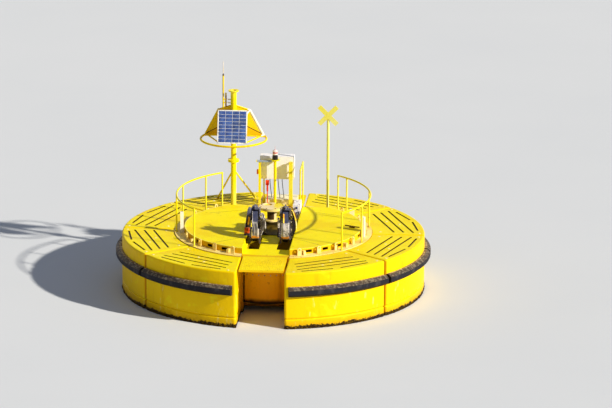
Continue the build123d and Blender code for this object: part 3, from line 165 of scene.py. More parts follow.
# The floor is a plain pale sheet at the waterline, where the water stood, and keeps the shadow.
# The class below holds one material: the piece's places, its normal and its coats of colour.
class Finish:
    def __init__(self, name, base, rough=0.5):
        self.material = bpy.data.materials.new(name)
        self.material.use_nodes = True
        tree = self.material.node_tree
        tree.nodes.clear()
        self.shader = tree.nodes.new("ShaderNodeBsdfPrincipled")
        output = tree.nodes.new("ShaderNodeOutputMaterial")
        tree.links.new(self.shader.outputs[0], output.inputs[0])
        self.root = Tint(tree)
        self.skin = base
        self.set("Roughness", rough)
        self.set("Specular IOR Level", 0.08)
        self.place = self.root.node("ShaderNodeTexCoord", out=3)
        self.x, self.y, self.z = self.split(self.place)
        self.facing = self.root.node("ShaderNodeNewGeometry", out=1)
        self.along, self.up = self.split(self.facing)[1:]

    def split(self, vector):
        parts = self.root.node("ShaderNodeSeparateXYZ", inputs={0: vector}).socket.node
        return [Tint(self.root.tree, socket) for socket in parts.outputs]

    def noise(self, scale, detail=3.0, stretch=(1.0, 1.0, 1.0)):
        settings = {"operation": "MULTIPLY"}
        place = self.root.node("ShaderNodeVectorMath", settings, {0: self.place, 1: stretch})
        inputs = {"Vector": place, "Scale": scale, "Detail": detail, "Roughness": 0.55}
        return self.root.node("ShaderNodeTexNoise", inputs=inputs)

    def cells(self, scale):
        return self.root.node("ShaderNodeTexVoronoi", inputs={"Vector": self.place, "Scale": scale})

    def edges(self, reach):
        soft = self.root.node("ShaderNodeBevel", {"samples": 6}, {"Radius": reach})
        inputs = {0: soft, 1: self.facing}
        straight = self.root.node("ShaderNodeVectorMath", {"operation": "DOT_PRODUCT"}, inputs, 1)
        return (1.0 - straight).ramp(0.01, 0.12)

    def coat(self, colour, mask):
        inputs = {0: mask, 6: self.skin, 7: colour}
        self.skin = self.root.node("ShaderNodeMix", {"data_type": "RGBA"}, inputs, 2)

    def fleck(self, colour, scale, low, high, share=1.0, detail=3.0):
        """Flecks of a colour, where a noise of a scale rises from one level to another."""
        self.coat(colour, self.noise(scale, detail).ramp(low, high, 0.0, share))

    def weather(self, rust, rust_share, faded, grime_share=0.25):
        """Faded clouds, grime in specks, rust on the edges and rust runs on upright faces."""
        cloud = self.noise(1.3, 4.0)
        fine = self.noise(31.0, 3.0)
        upright = 1.0 - abs(self.up).ramp(0.2, 0.7)
        runs = self.noise(8.0, 4.0, (1.0, 1.0, 0.1)).ramp(0.58, 0.74) * upright
        self.coat(faded, cloud.ramp(0.40, 0.68, 0.0, 0.75))
        self.coat(GRIME, fine.ramp(0.56, 0.74) * cloud.ramp(0.35, 0.6) * grime_share)
        self.coat(rust, self.edges(0.012) * fine.ramp(0.47, 0.58) * rust_share)
        self.coat(rust, runs * rust_share * 0.5)
        self.coat(rust, self.noise(5.5, 5.0).ramp(0.66, 0.72) * rust_share)
        self.bump(fine, 0.0015)

    def bump(self, height, depth):
        self.set("Normal", self.root.node("ShaderNodeBump", inputs={"Distance": depth, "Height": height}))

    def set(self, name, value):
        if isinstance(value, Tint):
            self.root.tree.links.new(value.socket, self.shader.inputs[name])
        else:
            self.shader.inputs[name].default_value = value

    def on(self, *names):
        self.set("Base Color", self.skin)
        for name in names:
            for slot in NODES[name].material_slots:
                slot.material = self.material
        return self.material


GRIME = rgb(92, 66, 22)
RUST = rgb(142, 78, 22)
floor_reach = 160.0
floor_sides = ((-1, -1), (1, -1), (1, 1), (-1, 1))
floor_corners = [(x * floor_reach, y * floor_reach, WATERLINE) for x, y in floor_sides]
floor_mesh = bpy.data.meshes.new("floor")
floor_mesh.from_pydata(floor_corners, [], [range(4)])
floor = bpy.data.objects.new("floor", floor_mesh)
scene.collection.objects.link(floor)
pale = Finish("pale_floor", rgb(228, 231, 234), 0.9)
pale.coat(rgb(222, 226, 230), pale.noise(0.2, 2.0))
floor_mesh.materials.append(pale.on())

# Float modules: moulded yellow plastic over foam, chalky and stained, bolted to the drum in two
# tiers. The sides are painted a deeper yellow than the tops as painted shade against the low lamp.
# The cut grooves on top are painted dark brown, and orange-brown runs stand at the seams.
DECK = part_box("float_upper_left")[1].z
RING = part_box("float_upper_right")[1].x
tier_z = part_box("float_upper_left")[0].z
groove_depth = 0.022
seam_angles = (-38.5, 0.0, 42.0)
yellow = Finish("float_plastic", rgb(249, 205, 0), 0.5)
cloud = yellow.noise(0.8, 4.0)
speck = yellow.noise(34.0, 2.0)
on_top = yellow.up.ramp(0.7, 0.95)
upright = 1.0 - abs(yellow.up).ramp(0.2, 0.6)
# Painted shade: the tops get a paler yellow than the deeper-yellow sides, to even out the low lamp.
yellow.coat(rgb(252, 230, 0), on_top)
yellow.coat(rgb(246, 206, 2), cloud.ramp(0.42, 0.66, 0.0, 0.5))
yellow.fleck(rgb(255, 244, 24), 2.6, 0.56, 0.72, 0.5, 5.0)
scuff_reach = 0.62
scuffs = yellow.noise(5.0, 5.0, (1.0, 1.0, 0.3)).ramp(0.60, 0.70) * upright
yellow.coat(rgb(255, 246, 150), scuffs * (yellow.z < tier_z + scuff_reach) * 0.6)
runs = yellow.noise(3.2, 5.0, (1.0, 1.0, 0.22)).ramp(0.57, 0.75) * upright
yellow.coat(rgb(205, 150, 14), runs * 0.45)
yellow.coat(rgb(120, 88, 18), speck.ramp(0.58, 0.7) * cloud.ramp(0.45, 0.62) * on_top * 0.45)
yellow.coat(rgb(255, 246, 190), yellow.cells(5.0).ramp(0.03, 0.05, 1.0, 0.0) * on_top * 0.8)
for angle in seam_angles:
    sine = math.sin(math.radians(angle))
    cosine = math.cos(math.radians(angle))
    from_seam = abs(abs(yellow.x) * sine - yellow.y * cosine)
    outside = (abs(yellow.x) * cosine + yellow.y * sine) > 1.0
    yellow.coat(rgb(206, 128, 4), from_seam.ramp(0.015, 0.07, 0.85, 0.0) * outside * upright)
    yellow.coat(rgb(52, 30, 8), from_seam.ramp(0.008, 0.014, 0.9, 0.0) * outside)
over_tier = yellow.z - tier_z
yellow.coat(rgb(186, 134, 10), over_tier.ramp(0.0, 0.06, 0.55, 0.0) * (over_tier > 0.0) * upright)
yellow.coat(rgb(58, 38, 10), over_tier.band(0.004, 0.014, 0.012) * upright)
# The groove floors, and upright faces just under the deck top, are painted dark brown.
in_groove = (yellow.z < DECK - groove_depth * 0.5) * (yellow.z > DECK - groove_depth * 1.5)
groove_wall = (abs(yellow.up) < 0.2) * (yellow.z > DECK - groove_depth * 1.1)
yellow.coat(rgb(74, 40, 16), (yellow.up > 0.9) * in_groove | groove_wall)
ragged = yellow.noise(6.0, 5.0) * 0.16 + yellow.noise(30.0, 3.0) * 0.15
over_water = yellow.z - WATERLINE - ragged
yellow.coat(rgb(196, 146, 8), over_water.ramp(-0.10, 0.20, 0.7, 0.0) * upright)
yellow.coat(rgb(40, 26, 8), over_water.ramp(-0.085, -0.045, 1.0, 0.0))
yellow.coat(rgb(62, 66, 34), (over_water + yellow.noise(9.0) * 0.3).ramp(-0.2, -0.1, 0.6, 0.0))
wet = over_water.ramp(-0.1, -0.04, 1.5, 0.0)
yellow.bump(yellow.noise(11.0, 3.0) + speck * 0.3 + wet * speck, 0.006)
yellow.on("float_lower_left", "float_lower_right", "float_upper_left", "float_upper_right")


# Pale plugs close the lifting and fixing holes in the floats' tops: flat moulded discs pressed
# into the plastic near each module's corners. The helpers here shape and keep every piece.
UP = (0, 0, 1)


def ring_point(radius, angle, z, mirror=1):
    turn = math.radians(angle)
    return Vector((mirror * radius * math.cos(turn), radius * math.sin(turn), z))


def prism(shape, at, axis, radius, height, sides=16, bevel=0.0):
    """A round or many-sided solid that stands on a point and rises along an axis."""
    turned = Vector(axis).to_track_quat("Z", "Y").to_matrix().to_4x4()
    place = Matrix.Translation(Vector(at) + Vector(axis).normalized() * height / 2) @ turned
    bmesh.ops.create_cone(shape, cap_ends=True, segments=sides, radius1=radius,
                          radius2=radius - bevel, depth=height, matrix=place)


def slab(shape, size, place, bevel=0.0):
    """A box of a size, put in place by a matrix, its edges bevelled."""
    grown = place @ Matrix.Diagonal((*size, 1.0))
    verts = bmesh.ops.create_cube(shape, size=1.0, matrix=grown)["verts"]
    if bevel:
        edges = list({edge for vert in verts for edge in vert.link_edges})
        bmesh.ops.bevel(shape, geom=edges, offset=bevel, segments=2, affect="EDGES", profile=0.6)


def pipe(shape, points, radius, sides=10):
    """A round bar through points, its turns rounded by a smooth curve."""
    knots = [Vector(point) for point in points]
    path = [knots[0]]
    for before, knot, after in zip(knots, knots[1:], knots[2:]):
        reach = min((knot - before).length, (after - knot).length) * 0.45
        first = knot + (before - knot).normalized() * reach
        last = knot + (after - knot).normalized() * reach
        for step in range(7):
            t = step / 6
            path.append(first * (1 - t) ** 2 + knot * 2 * t * (1 - t) + last * t ** 2)
    path.append(knots[-1])
    rings = []
    side = None
    for number, point in enumerate(path):
        ahead = (path[min(number + 1, len(path) - 1)] - path[max(number - 1, 0)]).normalized()
        if side is None:
            side = ahead.orthogonal().normalized()
        side = (side - ahead * side.dot(ahead)).normalized()
        other = ahead.cross(side)
        turns = [math.tau * turn / sides for turn in range(sides)]
        spokes = [side * math.cos(turn) + other * math.sin(turn) for turn in turns]
        rings.append([shape.verts.new(point + spoke * radius) for spoke in spokes])
    for low, high in zip(rings, rings[1:]):
        for turn in range(sides):
            after = (turn + 1) % sides
            shape.faces.new((low[turn], low[after], high[after], high[turn]))
    shape.faces.new(list(reversed(rings[0])))
    shape.faces.new(rings[-1])


def keep(shape, name, material, body="buoy"):
    """Turns a bmesh into an object with one material that rides on a body."""
    bmesh.ops.recalc_face_normals(shape, faces=shape.faces)
    mesh = bpy.data.meshes.new(name)
    shape.to_mesh(mesh)
    shape.free()
    mesh.materials.append(material)
    mesh.shade_smooth()
    mesh.set_sharp_from_angle(angle=math.radians(35.0))
    made = bpy.data.objects.new(name, mesh)
    scene.collection.objects.link(made)
    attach(made, body)


module_ends = (-80.0, *seam_angles, 80.0)
plug_plastic = Finish("plug_plastic", rgb(252, 240, 170), 0.4)
plug_plastic.fleck(rgb(196, 160, 60), 22.0, 0.5, 0.66, 0.7)
outer_plug_r = 3.86
inner_plug_r = 2.83
slot_clear = 0.72
plugs = bmesh.new()
for mirror in (-1, 1):
    for first, last in zip(module_ends, module_ends[1:]):
        middle = (first + last) / 2
        spots = ((outer_plug_r, first + 2.6), (outer_plug_r, last - 2.6), (inner_plug_r, first + 4.6),
                 (inner_plug_r, last - 4.6), (3.17, middle + 2), (3.42, middle - 4))
        for radius, angle in spots:
            if radius * math.cos(math.radians(angle)) < slot_clear:
                continue
            disc_at = ring_point(radius, angle, DECK - 0.002, mirror)
            nut_at = ring_point(radius, angle, DECK + 0.005, mirror)
            prism(plugs, disc_at, UP, 0.034, 0.008, 18, 0.004)
            prism(plugs, nut_at, UP, 0.014, 0.006, 6, 0.002)
keep(plugs, "float_plugs", plug_plastic.on())


# Growth hangs on the floats at the waterline: ragged clumps of weed and shell, spread by nodes
# over a narrow belt round the sides, so that the edge is broken as in the photograph.
def repeat_tree():
    """Nodes that put an item on every point, turned to the point's aim, in a random size."""
    tree = bpy.data.node_groups.new("repeat", "GeometryNodeTree")
    given = (("Points", "Geometry"), ("Item", "Object"), ("Material", "Material"), ("Seed", "Int"),
             ("Least Size", "Float"), ("Greatest Size", "Float"), ("Turn", "Float"))
    for name, kind in given:
        tree.interface.new_socket(name, in_out="INPUT", socket_type="NodeSocket" + kind)
    tree.interface.new_socket("Geometry", in_out="OUTPUT", socket_type="NodeSocketGeometry")
    start = tree.nodes.new("NodeGroupInput")
    aim = tree.nodes.new("GeometryNodeInputNamedAttribute")
    aim.data_type = "FLOAT_VECTOR"
    aim.inputs["Name"].default_value = "aim"
    align = tree.nodes.new("FunctionNodeAlignRotationToVector")
    align.axis = "Z"
    size = tree.nodes.new("FunctionNodeRandomValue")
    size.data_type = "FLOAT"
    angle = tree.nodes.new("FunctionNodeRandomValue")
    angle.data_type = "FLOAT"
    spin = tree.nodes.new("FunctionNodeAxisAngleToRotation")
    spin.inputs["Axis"].default_value = (0.0, 0.0, 1.0)
    turned = tree.nodes.new("FunctionNodeRotateRotation")
    turned.rotation_space = "LOCAL"
    item = tree.nodes.new("GeometryNodeObjectInfo")
    put = tree.nodes.new("GeometryNodeInstanceOnPoints")
    real = tree.nodes.new("GeometryNodeRealizeInstances")
    paint = tree.nodes.new("GeometryNodeSetMaterial")
    end = tree.nodes.new("NodeGroupOutput")
    link = tree.links.new
    link(start.outputs["Item"], item.inputs["Object"])
    link(start.outputs["Seed"], size.inputs["Seed"])
    link(start.outputs["Seed"], angle.inputs["Seed"])
    link(start.outputs["Least Size"], size.inputs[2])
    link(start.outputs["Greatest Size"], size.inputs[3])
    link(start.outputs["Turn"], angle.inputs[3])
    link(aim.outputs["Attribute"], align.inputs["Vector"])
    link(angle.outputs[1], spin.inputs["Angle"])
    link(align.outputs[0], turned.inputs[0])
    link(spin.outputs[0], turned.inputs[1])
    link(start.outputs["Points"], put.inputs["Points"])
    link(item.outputs["Geometry"], put.inputs["Instance"])
    link(turned.outputs[0], put.inputs["Rotation"])
    link(size.outputs[1], put.inputs["Scale"])
    link(put.outputs[0], real.inputs[0])
    link(real.outputs[0], paint.inputs["Geometry"])
    link(start.outputs["Material"], paint.inputs["Material"])
    link(paint.outputs[0], end.inputs[0])
    return tree


REPEAT = repeat_tree()


def repeat(shape, name, spots, material, seed, sizes=(1.0, 1.0), turn=0.0, body="buoy"):
    """Repeats a small shape on spots, each a place and the way its top points."""
    item_mesh = bpy.data.meshes.new(name + "_item")
    shape.to_mesh(item_mesh)
    shape.free()
    item = bpy.data.objects.new(name + "_item", item_mesh)
    scene.collection.objects.link(item)
    points = bpy.data.meshes.new(name)
    points.from_pydata([place for place, aim in spots], [], [])
    aims = points.attributes.new("aim", "FLOAT_VECTOR", "POINT")
    for value, (place, aim) in zip(aims.data, spots):
        value.vector = aim
    made = bpy.data.objects.new(name, points)
    scene.collection.objects.link(made)
    modifier = made.modifiers.new("repeat", "NODES")
    modifier.node_group = REPEAT
    given = {"Item": item, "Material": material, "Seed": seed, "Least Size": sizes[0],
             "Greatest Size": sizes[1], "Turn": turn}
    for socket in REPEAT.interface.items_tree:
        if socket.name in given:
            modifier[socket.identifier] = given[socket.name]
    bpy.context.view_layer.update()
    graph = bpy.context.evaluated_depsgraph_get()
    laid = bpy.data.meshes.new_from_object(made.evaluated_get(graph))
    made.modifiers.remove(modifier)
    made.data = laid
    bpy.data.meshes.remove(points)
    bpy.data.objects.remove(item)
    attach(made, body)


weed = Finish("weed", rgb(46, 32, 10), 0.9)
weed.fleck(rgb(96, 72, 14), 16.0, 0.45, 0.65)
weed.fleck(rgb(166, 150, 96), 44.0, 0.66, 0.7, 0.8)
weed.bump(weed.noise(90.0), 0.01)
clump = bmesh.new()
bmesh.ops.create_icosphere(clump, subdivisions=2, radius=1.0)
for number, vert in enumerate(clump.verts):
    vert.co *= 1.0 + 0.34 * math.sin(number * 2.4) * math.cos(number * 1.7)
    vert.co.z *= 0.42
sunk = 0.006
belt = []
belt_end = 80.5
belt_step = 0.42
for mirror in (-1, 1):
    for number in range(int(2 * belt_end / belt_step)):
        angle = number * belt_step - belt_end
        wave = math.sin(number * 1.93) + math.sin(number * 0.71) + math.sin(number * 0.13)
        height = WATERLINE + 0.012 + 0.022 * wave
        outward = ring_point(1.0, angle, 0.0, mirror)
        belt.append((ring_point(RING - sunk, angle, height, mirror), outward))
repeat(clump, "waterline_growth", belt, weed.on(), 7, (0.016, 0.045), math.tau)

# Fenders: long D sections of black rubber on the upper floats. Their crowns are grey-brown with
# pale flecks, partly wear and partly painted light on the lit tops, their undersides are painted
# shade, and bolts with washers hold their upper and lower lips to the floats at every quarter metre.
rubber = Finish("fender_rubber", rgb(38, 37, 42), 0.6)
wear = rubber.noise(4.0, 5.0, (1.0, 1.0, 0.5))
# Painted light and wear: the crown is grey-brown with pale flecks where the lamp falls on top.
crown = rubber.up.ramp(0.72, 0.93)
rubber.coat(rgb(128, 104, 74), crown * wear.ramp(0.34, 0.56, 0.3, 0.95))
rubber.coat(rgb(190, 178, 150), crown * rubber.noise(15.0, 3.0).ramp(0.48, 0.6))
rubber.coat(rgb(80, 76, 76), (1.0 - crown) * wear.ramp(0.52, 0.68) * 0.5)
# Painted shade: the undersides are near-black.
rubber.coat(rgb(22, 20, 24), (rubber.up < -0.3) * 0.8)
rubber.bump(rubber.noise(60.0, 2.0) + wear, 0.004)
rubber.on("fender_left", "fender_right")
zinc = Finish("bolt_zinc", rgb(196, 188, 168), 0.45)
zinc.set("Metallic", 0.3)
zinc.fleck(rgb(132, 84, 38), 30.0, 0.5, 0.62)
bolt_zinc = zinc.on()
fender_low, fender_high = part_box("fender_right")
bolt_pitch = 0.23
fender_end = 79.0
lip = 0.022
bolt_count = int(math.radians(2 * fender_end) * RING / bolt_pitch)
lips = []
for mirror in (-1, 1):
    for number in range(bolt_count):
        angle = math.degrees(number * bolt_pitch / RING) - fender_end
        if min(abs(angle - seam) for seam in seam_angles) < 1.0:
            continue
        for z in (fender_high.z + lip, fender_low.z - lip):
            outward = ring_point(1.0, angle, 0.0, mirror)
            lips.append((ring_point(RING - sunk, angle, z, mirror), outward))
head = bmesh.new()
prism(head, (0, 0, -0.004), UP, 0.021, 0.006, 14, 0.002)
prism(head, (0, 0, 0.001), UP, 0.013, 0.005, 6, 0.002)
repeat(head, "fender_bolts", lips, bolt_zinc, 3)

# Steel core: the drum, girders, keel flange, column and beams are one welded and painted body
# with growth below the waterline. The nose panels in the slots are painted a brighter orange than
# the core as painted light, for the light thrown into the slots; they are stained orange-brown,
# darker towards the foot and black at it. Two rows of studs hold each of them, and the hooks'
# well has a duller paint.
core = Finish("core_paint", rgb(222, 158, 8), 0.5)
core.weather(RUST, 0.9, rgb(196, 128, 10), 0.5)
core_depth = core.z - WATERLINE - core.noise(5.0, 5.0) * 0.25
core.coat(rgb(44, 30, 10), core_depth.ramp(-0.12, 0.05, 1.0, 0.0))
core.on("keel_flange", "core_shell_left", "core_shell_right", "core_girder_left", "core_girder_right",
        "mooring_column", "cross_beams")
# Painted light: the nose paint is a brighter orange than the core, for light thrown into the slots.
nose = Finish("nose_paint", rgb(255, 196, 8), 0.5)
nose.weather(rgb(176, 104, 8), 0.5, rgb(252, 184, 4), 0.2)
nose_low, nose_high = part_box("nose_panel_front")
nose_height = (nose.z - nose_low.z) / (nose_high.z - nose_low.z)
# Darker towards the foot, and black at it.
nose.coat(rgb(232, 158, 4), nose_height.ramp(0.0, 0.75, 0.8, 0.0))
nose.coat(rgb(150, 88, 8), nose.noise(3.0, 4.0, (1.0, 1.0, 0.14)).ramp(0.55, 0.7) * 0.6)
nose.coat(rgb(22, 13, 5), (nose_height + nose.noise(4.0, 4.0) * 0.12).ramp(0.08, 0.2, 1.0, 0.0))
nose.on("nose_panel_front", "nose_panel_rear")
band_r = 1.114
band_y = 1.530
stud_pitch = 0.155
stud_rows = (2.045, 2.155)
nose_studs = []
for end in (-1, 1):
    for number in range(-3, 4):
        lean = math.asin(number * stud_pitch / band_r)
        for z in stud_rows:
            spot = (band_r * math.sin(lean), end * (band_y + band_r * math.cos(lean)), z)
            nose_studs.append((spot, (math.sin(lean), end * math.cos(lean), 0.0)))
stud = bmesh.new()
prism(stud, (0, 0, -0.003), UP, 0.019, 0.006, 12, 0.002)
prism(stud, (0, 0, 0.002), UP, 0.012, 0.009, 6, 0.002)
repeat(stud, "nose_bolts", nose_studs, bolt_zinc, 5)
well = Finish("well_paint", rgb(206, 176, 16), 0.6)
well.weather(RUST, 0.9, rgb(140, 112, 24), 0.6)
well.on("hook_well")

# Rim: the flat ring between floats and decks, with lifting eyes and gussets, painted cream over
# yellow and worn through to rust. The two lockers at the rails have a whiter coat.
rim = Finish("rim_paint", rgb(255, 234, 150), 0.5)
rim.fleck(rgb(250, 214, 60), 2.4, 0.5, 0.66, 0.7, 4.0)
rim.weather(RUST, 0.55, rgb(246, 208, 104), 0.25)
rim.fleck(rgb(168, 104, 22), 9.0, 0.62, 0.7, 0.8, 4.0)
rim.on("rim_left", "rim_right")
locker = Finish("locker_paint", rgb(252, 246, 222), 0.4)
locker.weather(rgb(222, 150, 30), 0.35, rgb(250, 238, 190), 0.1)
locker.on("rail_lockers")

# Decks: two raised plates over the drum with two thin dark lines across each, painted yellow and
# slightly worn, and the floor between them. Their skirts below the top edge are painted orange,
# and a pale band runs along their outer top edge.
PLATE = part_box("deck_plate_right")[1].z
deck = Finish("deck_paint", rgb(255, 236, 8), 0.55)
deck.fleck(rgb(246, 212, 10), 1.0, 0.44, 0.62, 0.7, 4.0)
deck.weather(RUST, 0.4, rgb(255, 240, 20), 0.3)
deck_r = deck.root.sum("SQRT", deck.x * deck.x + deck.y * deck.y)
deck_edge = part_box("deck_plate_right")[1].x
# The skirts below the plate's top edge are painted orange.
deck.coat(rgb(226, 160, 14), (deck.z < PLATE - 0.02) * (deck_r > deck_edge - 0.03) * 0.7)
on_plate = deck.z > PLATE - 0.002
# Each line: the slope in x and y of the line across it, its distance, and its ends in x.
deck_dark_lines = ((0.397, 0.918, 1.665, 0.95, 1.80), (0.63, 0.776, -0.532, 0.66, 1.50))
for slope_x, slope_y, offset, low, high in deck_dark_lines:
    from_line = abs(deck.x) * slope_x + deck.y * slope_y
    inside = (abs(deck.x) > low) * (abs(deck.x) < high)
    deck.coat(rgb(96, 76, 14), from_line.band(offset, 0.005, 0.006) * inside * on_plate * 0.85)
deck.coat(rgb(255, 244, 150), (deck_r - deck_edge).ramp(-0.03, -0.012) * on_plate * 0.5)
deck.on("deck_plate_left", "deck_plate_right", "centre_floor")

# Walkways: two plates over the slot's ends with a raised tread of small lozenges, laid by nodes,
# and a folded rim whose faces below the top are painted orange as painted shade.
walk = Finish("walkway_paint", rgb(255, 234, 16), 0.55)
walk.weather(RUST, 0.5, rgb(250, 212, 14), 0.5)
# Painted shade: the faces below the top are painted orange.
walk.coat(rgb(236, 176, 8), (walk.z < DECK - 0.004) * 0.7)
walk_paint = walk.on("walkway_front", "walkway_rear")
lozenge = bmesh.new()
prism(lozenge, (0, 0, -0.001), UP, 0.019, 0.006, 4, 0.005)
bmesh.ops.scale(lozenge, vec=(1.0, 0.5, 1.0), verts=lozenge.verts)
tread_spots = []
tread_pitch = 0.052
tread_start = 2.63
margin_x = 0.06
margin_y = 0.05
spare_x = 0.08
spare_y = 0.06
for name in ("walkway_front", "walkway_rear"):
    low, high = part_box(name)
    near = max(low.y, tread_start) if low.y > 0 else low.y
    far = high.y if low.y > 0 else min(high.y, -tread_start)
    for row in range(int((far - near - spare_y) / tread_pitch)):
        for column in range(int((high.x - low.x - spare_x) / tread_pitch)):
            spot = (low.x + margin_x + column * tread_pitch, near + margin_y + row * tread_pitch, high.z)
            tread_spots.append((spot, UP))
repeat(lozenge, "walkway_tread", tread_spots, walk_paint, 11, turn=math.pi)

# Rails, mast, topmark and gantry: welded tubes and plates in glossy yellow paint, a little paler
# where the sun has bleached them, with rust and four bolts at each post's foot. The reflector's
# fins carry painted shade and light: a deeper gold on their front and back faces, a dark fold line
# with a darker band below it, and a pale painted highlight along their right edge.
rail = Finish("rail_paint", rgb(252, 232, 14), 0.38)
rail.weather(rgb(176, 104, 16), 0.4, rgb(253, 240, 90), 0.2)
foot_rust = (rail.z - DECK).ramp(0.02, 0.14, 0.55, 0.0) * rail.noise(12.0).ramp(0.42, 0.6)
rail.coat(rgb(176, 108, 22), foot_rust)
tray_low = DECK + 1.249
tray_high = DECK + 1.32
tray_left = -0.66
tray_right = -0.24
tray_front = 2.2
tray = (rail.z > tray_low) * (rail.z < tray_high) * (rail.x > tray_left) * (rail.x < tray_right)
rail.coat(rgb(158, 172, 188), tray * (rail.y > tray_front))
rail.on("handrail_left", "handrail_right", "walkway_rail", "mast_lower", "mast_upper", "gantry",
        "lamp_post")
foot_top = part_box("handrail_right")[0].z + 0.010
rail_r = 2.56
post_angles = ((1, (-41.0, -20.5, 13.5, 45.0, 52.5)), (-1, (-41.0, -7.0, 15.0, 40.0, 52.5)))
bolt_circle = 0.043
foot_bolts = []
for mirror, angles in post_angles:
    for angle in angles:
        at = ring_point(rail_r, angle, foot_top, mirror)
        for turn in (45, 135, 225, 315):
            foot_bolts.append((at + ring_point(bolt_circle, turn, 0.0), UP))
foot_head = bmesh.new()
prism(foot_head, (0, 0, -0.002), UP, 0.009, 0.008, 6, 0.002)
repeat(foot_head, "rail_foot_bolts", foot_bolts, bolt_zinc, 6)
mark = Finish("topmark_paint", rgb(238, 228, 96), 0.4)
mark.weather(rgb(170, 120, 30), 0.35, rgb(240, 236, 150), 0.2)
mark.on("cross_topmark")
fins = Finish("reflector_paint", rgb(253, 226, 12), 0.42)
fins.weather(rgb(190, 120, 18), 0.5, rgb(248, 206, 24), 0.25)
fins.coat(rgb(214, 140, 20), fins.noise(7.0, 4.0, (1.0, 1.0, 0.3)).ramp(0.55, 0.68) * 0.5)
cage_low, cage_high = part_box("radar_reflector")
mast_x = (cage_low.x + cage_high.x) / 2
from_mast = abs(fins.x - mast_x)
above_deck = fins.z - DECK
fold_z = 2.05
fold_x = 0.68
fold_slope = 0.6
fold = above_deck + (from_mast - fold_x) * fold_slope
fin_reach = 0.76
fin_low = 1.99
fin_high = 2.42
fin_front = 2.25
on_fin = (from_mast < fin_reach) * (above_deck < fin_high) * (above_deck > fin_low)
# Painted shade: faces that look to the front and back take a deeper gold.
fins.coat(rgb(230, 192, 14), (abs(fins.along) > 0.85) * 0.85)
# Painted shade: a darker band below the fold line, and the line itself dark.
fins.coat(rgb(224, 164, 10), (fold < fold_z) * on_fin * 0.7)
fold_line = fold.band(fold_z, 0.010, 0.008) * on_fin * (fins.y > fin_front)
fins.coat(rgb(70, 50, 20), fold_line * 0.9)
edge_foot = 1.98
edge_slope = 0.503
edge_reach = 0.735
edge_low = 1.965
edge_high = 2.73
# Painted highlight: a pale band along the fins' right edge.
edge_line = from_mast + (above_deck - edge_foot) * edge_slope
right_edge = (edge_line > edge_reach) * (fins.x > mast_x) * (above_deck > edge_low)
fins.coat(rgb(255, 250, 222), right_edge * (above_deck < edge_high))
fins.on("radar_reflector")

# Solar panel: a pale frame round four by nine blue cells with fine silver lines, on the front of
# the reflector cage. Its slope and size are read from the panel's own mesh.
panel = NODES["solar_panel"]
front_faces = [face for face in panel.data.polygons if face.normal.y < -0.5]
panel_out = max(front_faces, key=lambda face: face.area).normal.copy()
panel_side = Vector((1.0, 0.0, 0.0))
panel_up = panel_out.cross(panel_side).normalized()
corners = [vert.co for vert in panel.data.vertices]
spans = [(min(c.dot(axis) for c in corners), max(c.dot(axis) for c in corners))
         for axis in (panel_side, panel_up, panel_out)]
panel_w = spans[0][1] - spans[0][0]
panel_h = spans[1][1] - spans[1][0]
panel_mid = (panel_side * sum(spans[0]) + panel_up * sum(spans[1])) / 2 + panel_out * spans[2][1]
panel_turn = Matrix((panel_side, panel_up, panel_out)).transposed().to_4x4()
panel_place = Matrix.Translation(panel_mid) @ panel_turn
backing = Finish("panel_back", rgb(250, 250, 250), 0.4)
backing.fleck(rgb(180, 178, 170), 14.0, 0.5, 0.7)
backing_paint = backing.on("solar_panel")
cell_glass = Finish("solar_cell", rgb(36, 66, 140), 0.2)
cell_glass.set("Specular IOR Level", 0.35)
cell_glass.coat(rgb(66, 98, 168), cell_glass.cells(9.0).ramp(0.2, 0.8))
cell_glass.fleck(rgb(34, 52, 96), 3.0, 0.45, 0.65, 0.6, 2.0)
line_pitch = 0.0225
fine_line = cell_glass.root.sum("FRACT", cell_glass.x / line_pitch).band(0.5, 0.045, 0.02)
cell_glass.coat(rgb(150, 166, 190), fine_line * 0.45)
border = 0.025
frame_t = 0.010
gap_x = 0.008
gap_y = 0.007
cell_w = (panel_w - 2 * border) / 4
cell_h = (panel_h - 2 * border) / 9
cells = bmesh.new()
for column in range(4):
    for row in range(9):
        across = (column + 0.5) * cell_w - panel_w / 2 + border
        along = (row + 0.5) * cell_h - panel_h / 2 + border
        at = panel_place @ Matrix.Translation((across, along, -0.0005))
        slab(cells, (cell_w - gap_x, cell_h - gap_y, 0.004), at, 0.001)
keep(cells, "solar_cells", cell_glass.on())
edging = bmesh.new()
for sign in (-1, 1):
    at = panel_place @ Matrix.Translation((sign * (panel_w - border) / 2, 0.0, 0.0))
    slab(edging, (border, panel_h, frame_t), at, 0.003)
    at = panel_place @ Matrix.Translation((0.0, sign * (panel_h - border) / 2, 0.0))
    slab(edging, (panel_w, border, frame_t), at, 0.003)
keep(edging, "solar_frame", backing_paint)

# Antenna: a yellow tube that is dark at its joints, with a thin pale whip, and a stub on two pale
# arms. The lantern on its own post has a black base, a clear lens with a red band, and a spike.
whip = Finish("antenna_paint", rgb(246, 214, 30), 0.4)
whip_foot = 6.2
joint_z = 6.19
stub_z = 5.45
stub_left = -1.485
arm_start = -1.455
whip.coat(rgb(236, 226, 214), whip.z > whip_foot)
whip.weather(rgb(60, 44, 30), 0.5, rgb(226, 190, 60), 0.3)
whip.coat(rgb(252, 240, 226), whip.x > arm_start)
stub_band = whip.z.band(stub_z, 0.16) * (whip.x > stub_left) * (whip.x < arm_start)
whip.coat(rgb(84, 52, 24), whip.z.band(joint_z, 0.03) | stub_band)
whip.on("antenna")
lantern_low, lantern_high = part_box("lantern")
lens = Finish("lantern_body", rgb(30, 28, 34), 0.3)
lens_height = (lens.z - lantern_low.z) / (lantern_high.z - lantern_low.z)
lens.coat(rgb(240, 226, 224), lens_height.ramp(0.36, 0.38))
lens.coat(rgb(214, 120, 118), lens_height.band(0.52, 0.05, 0.02))
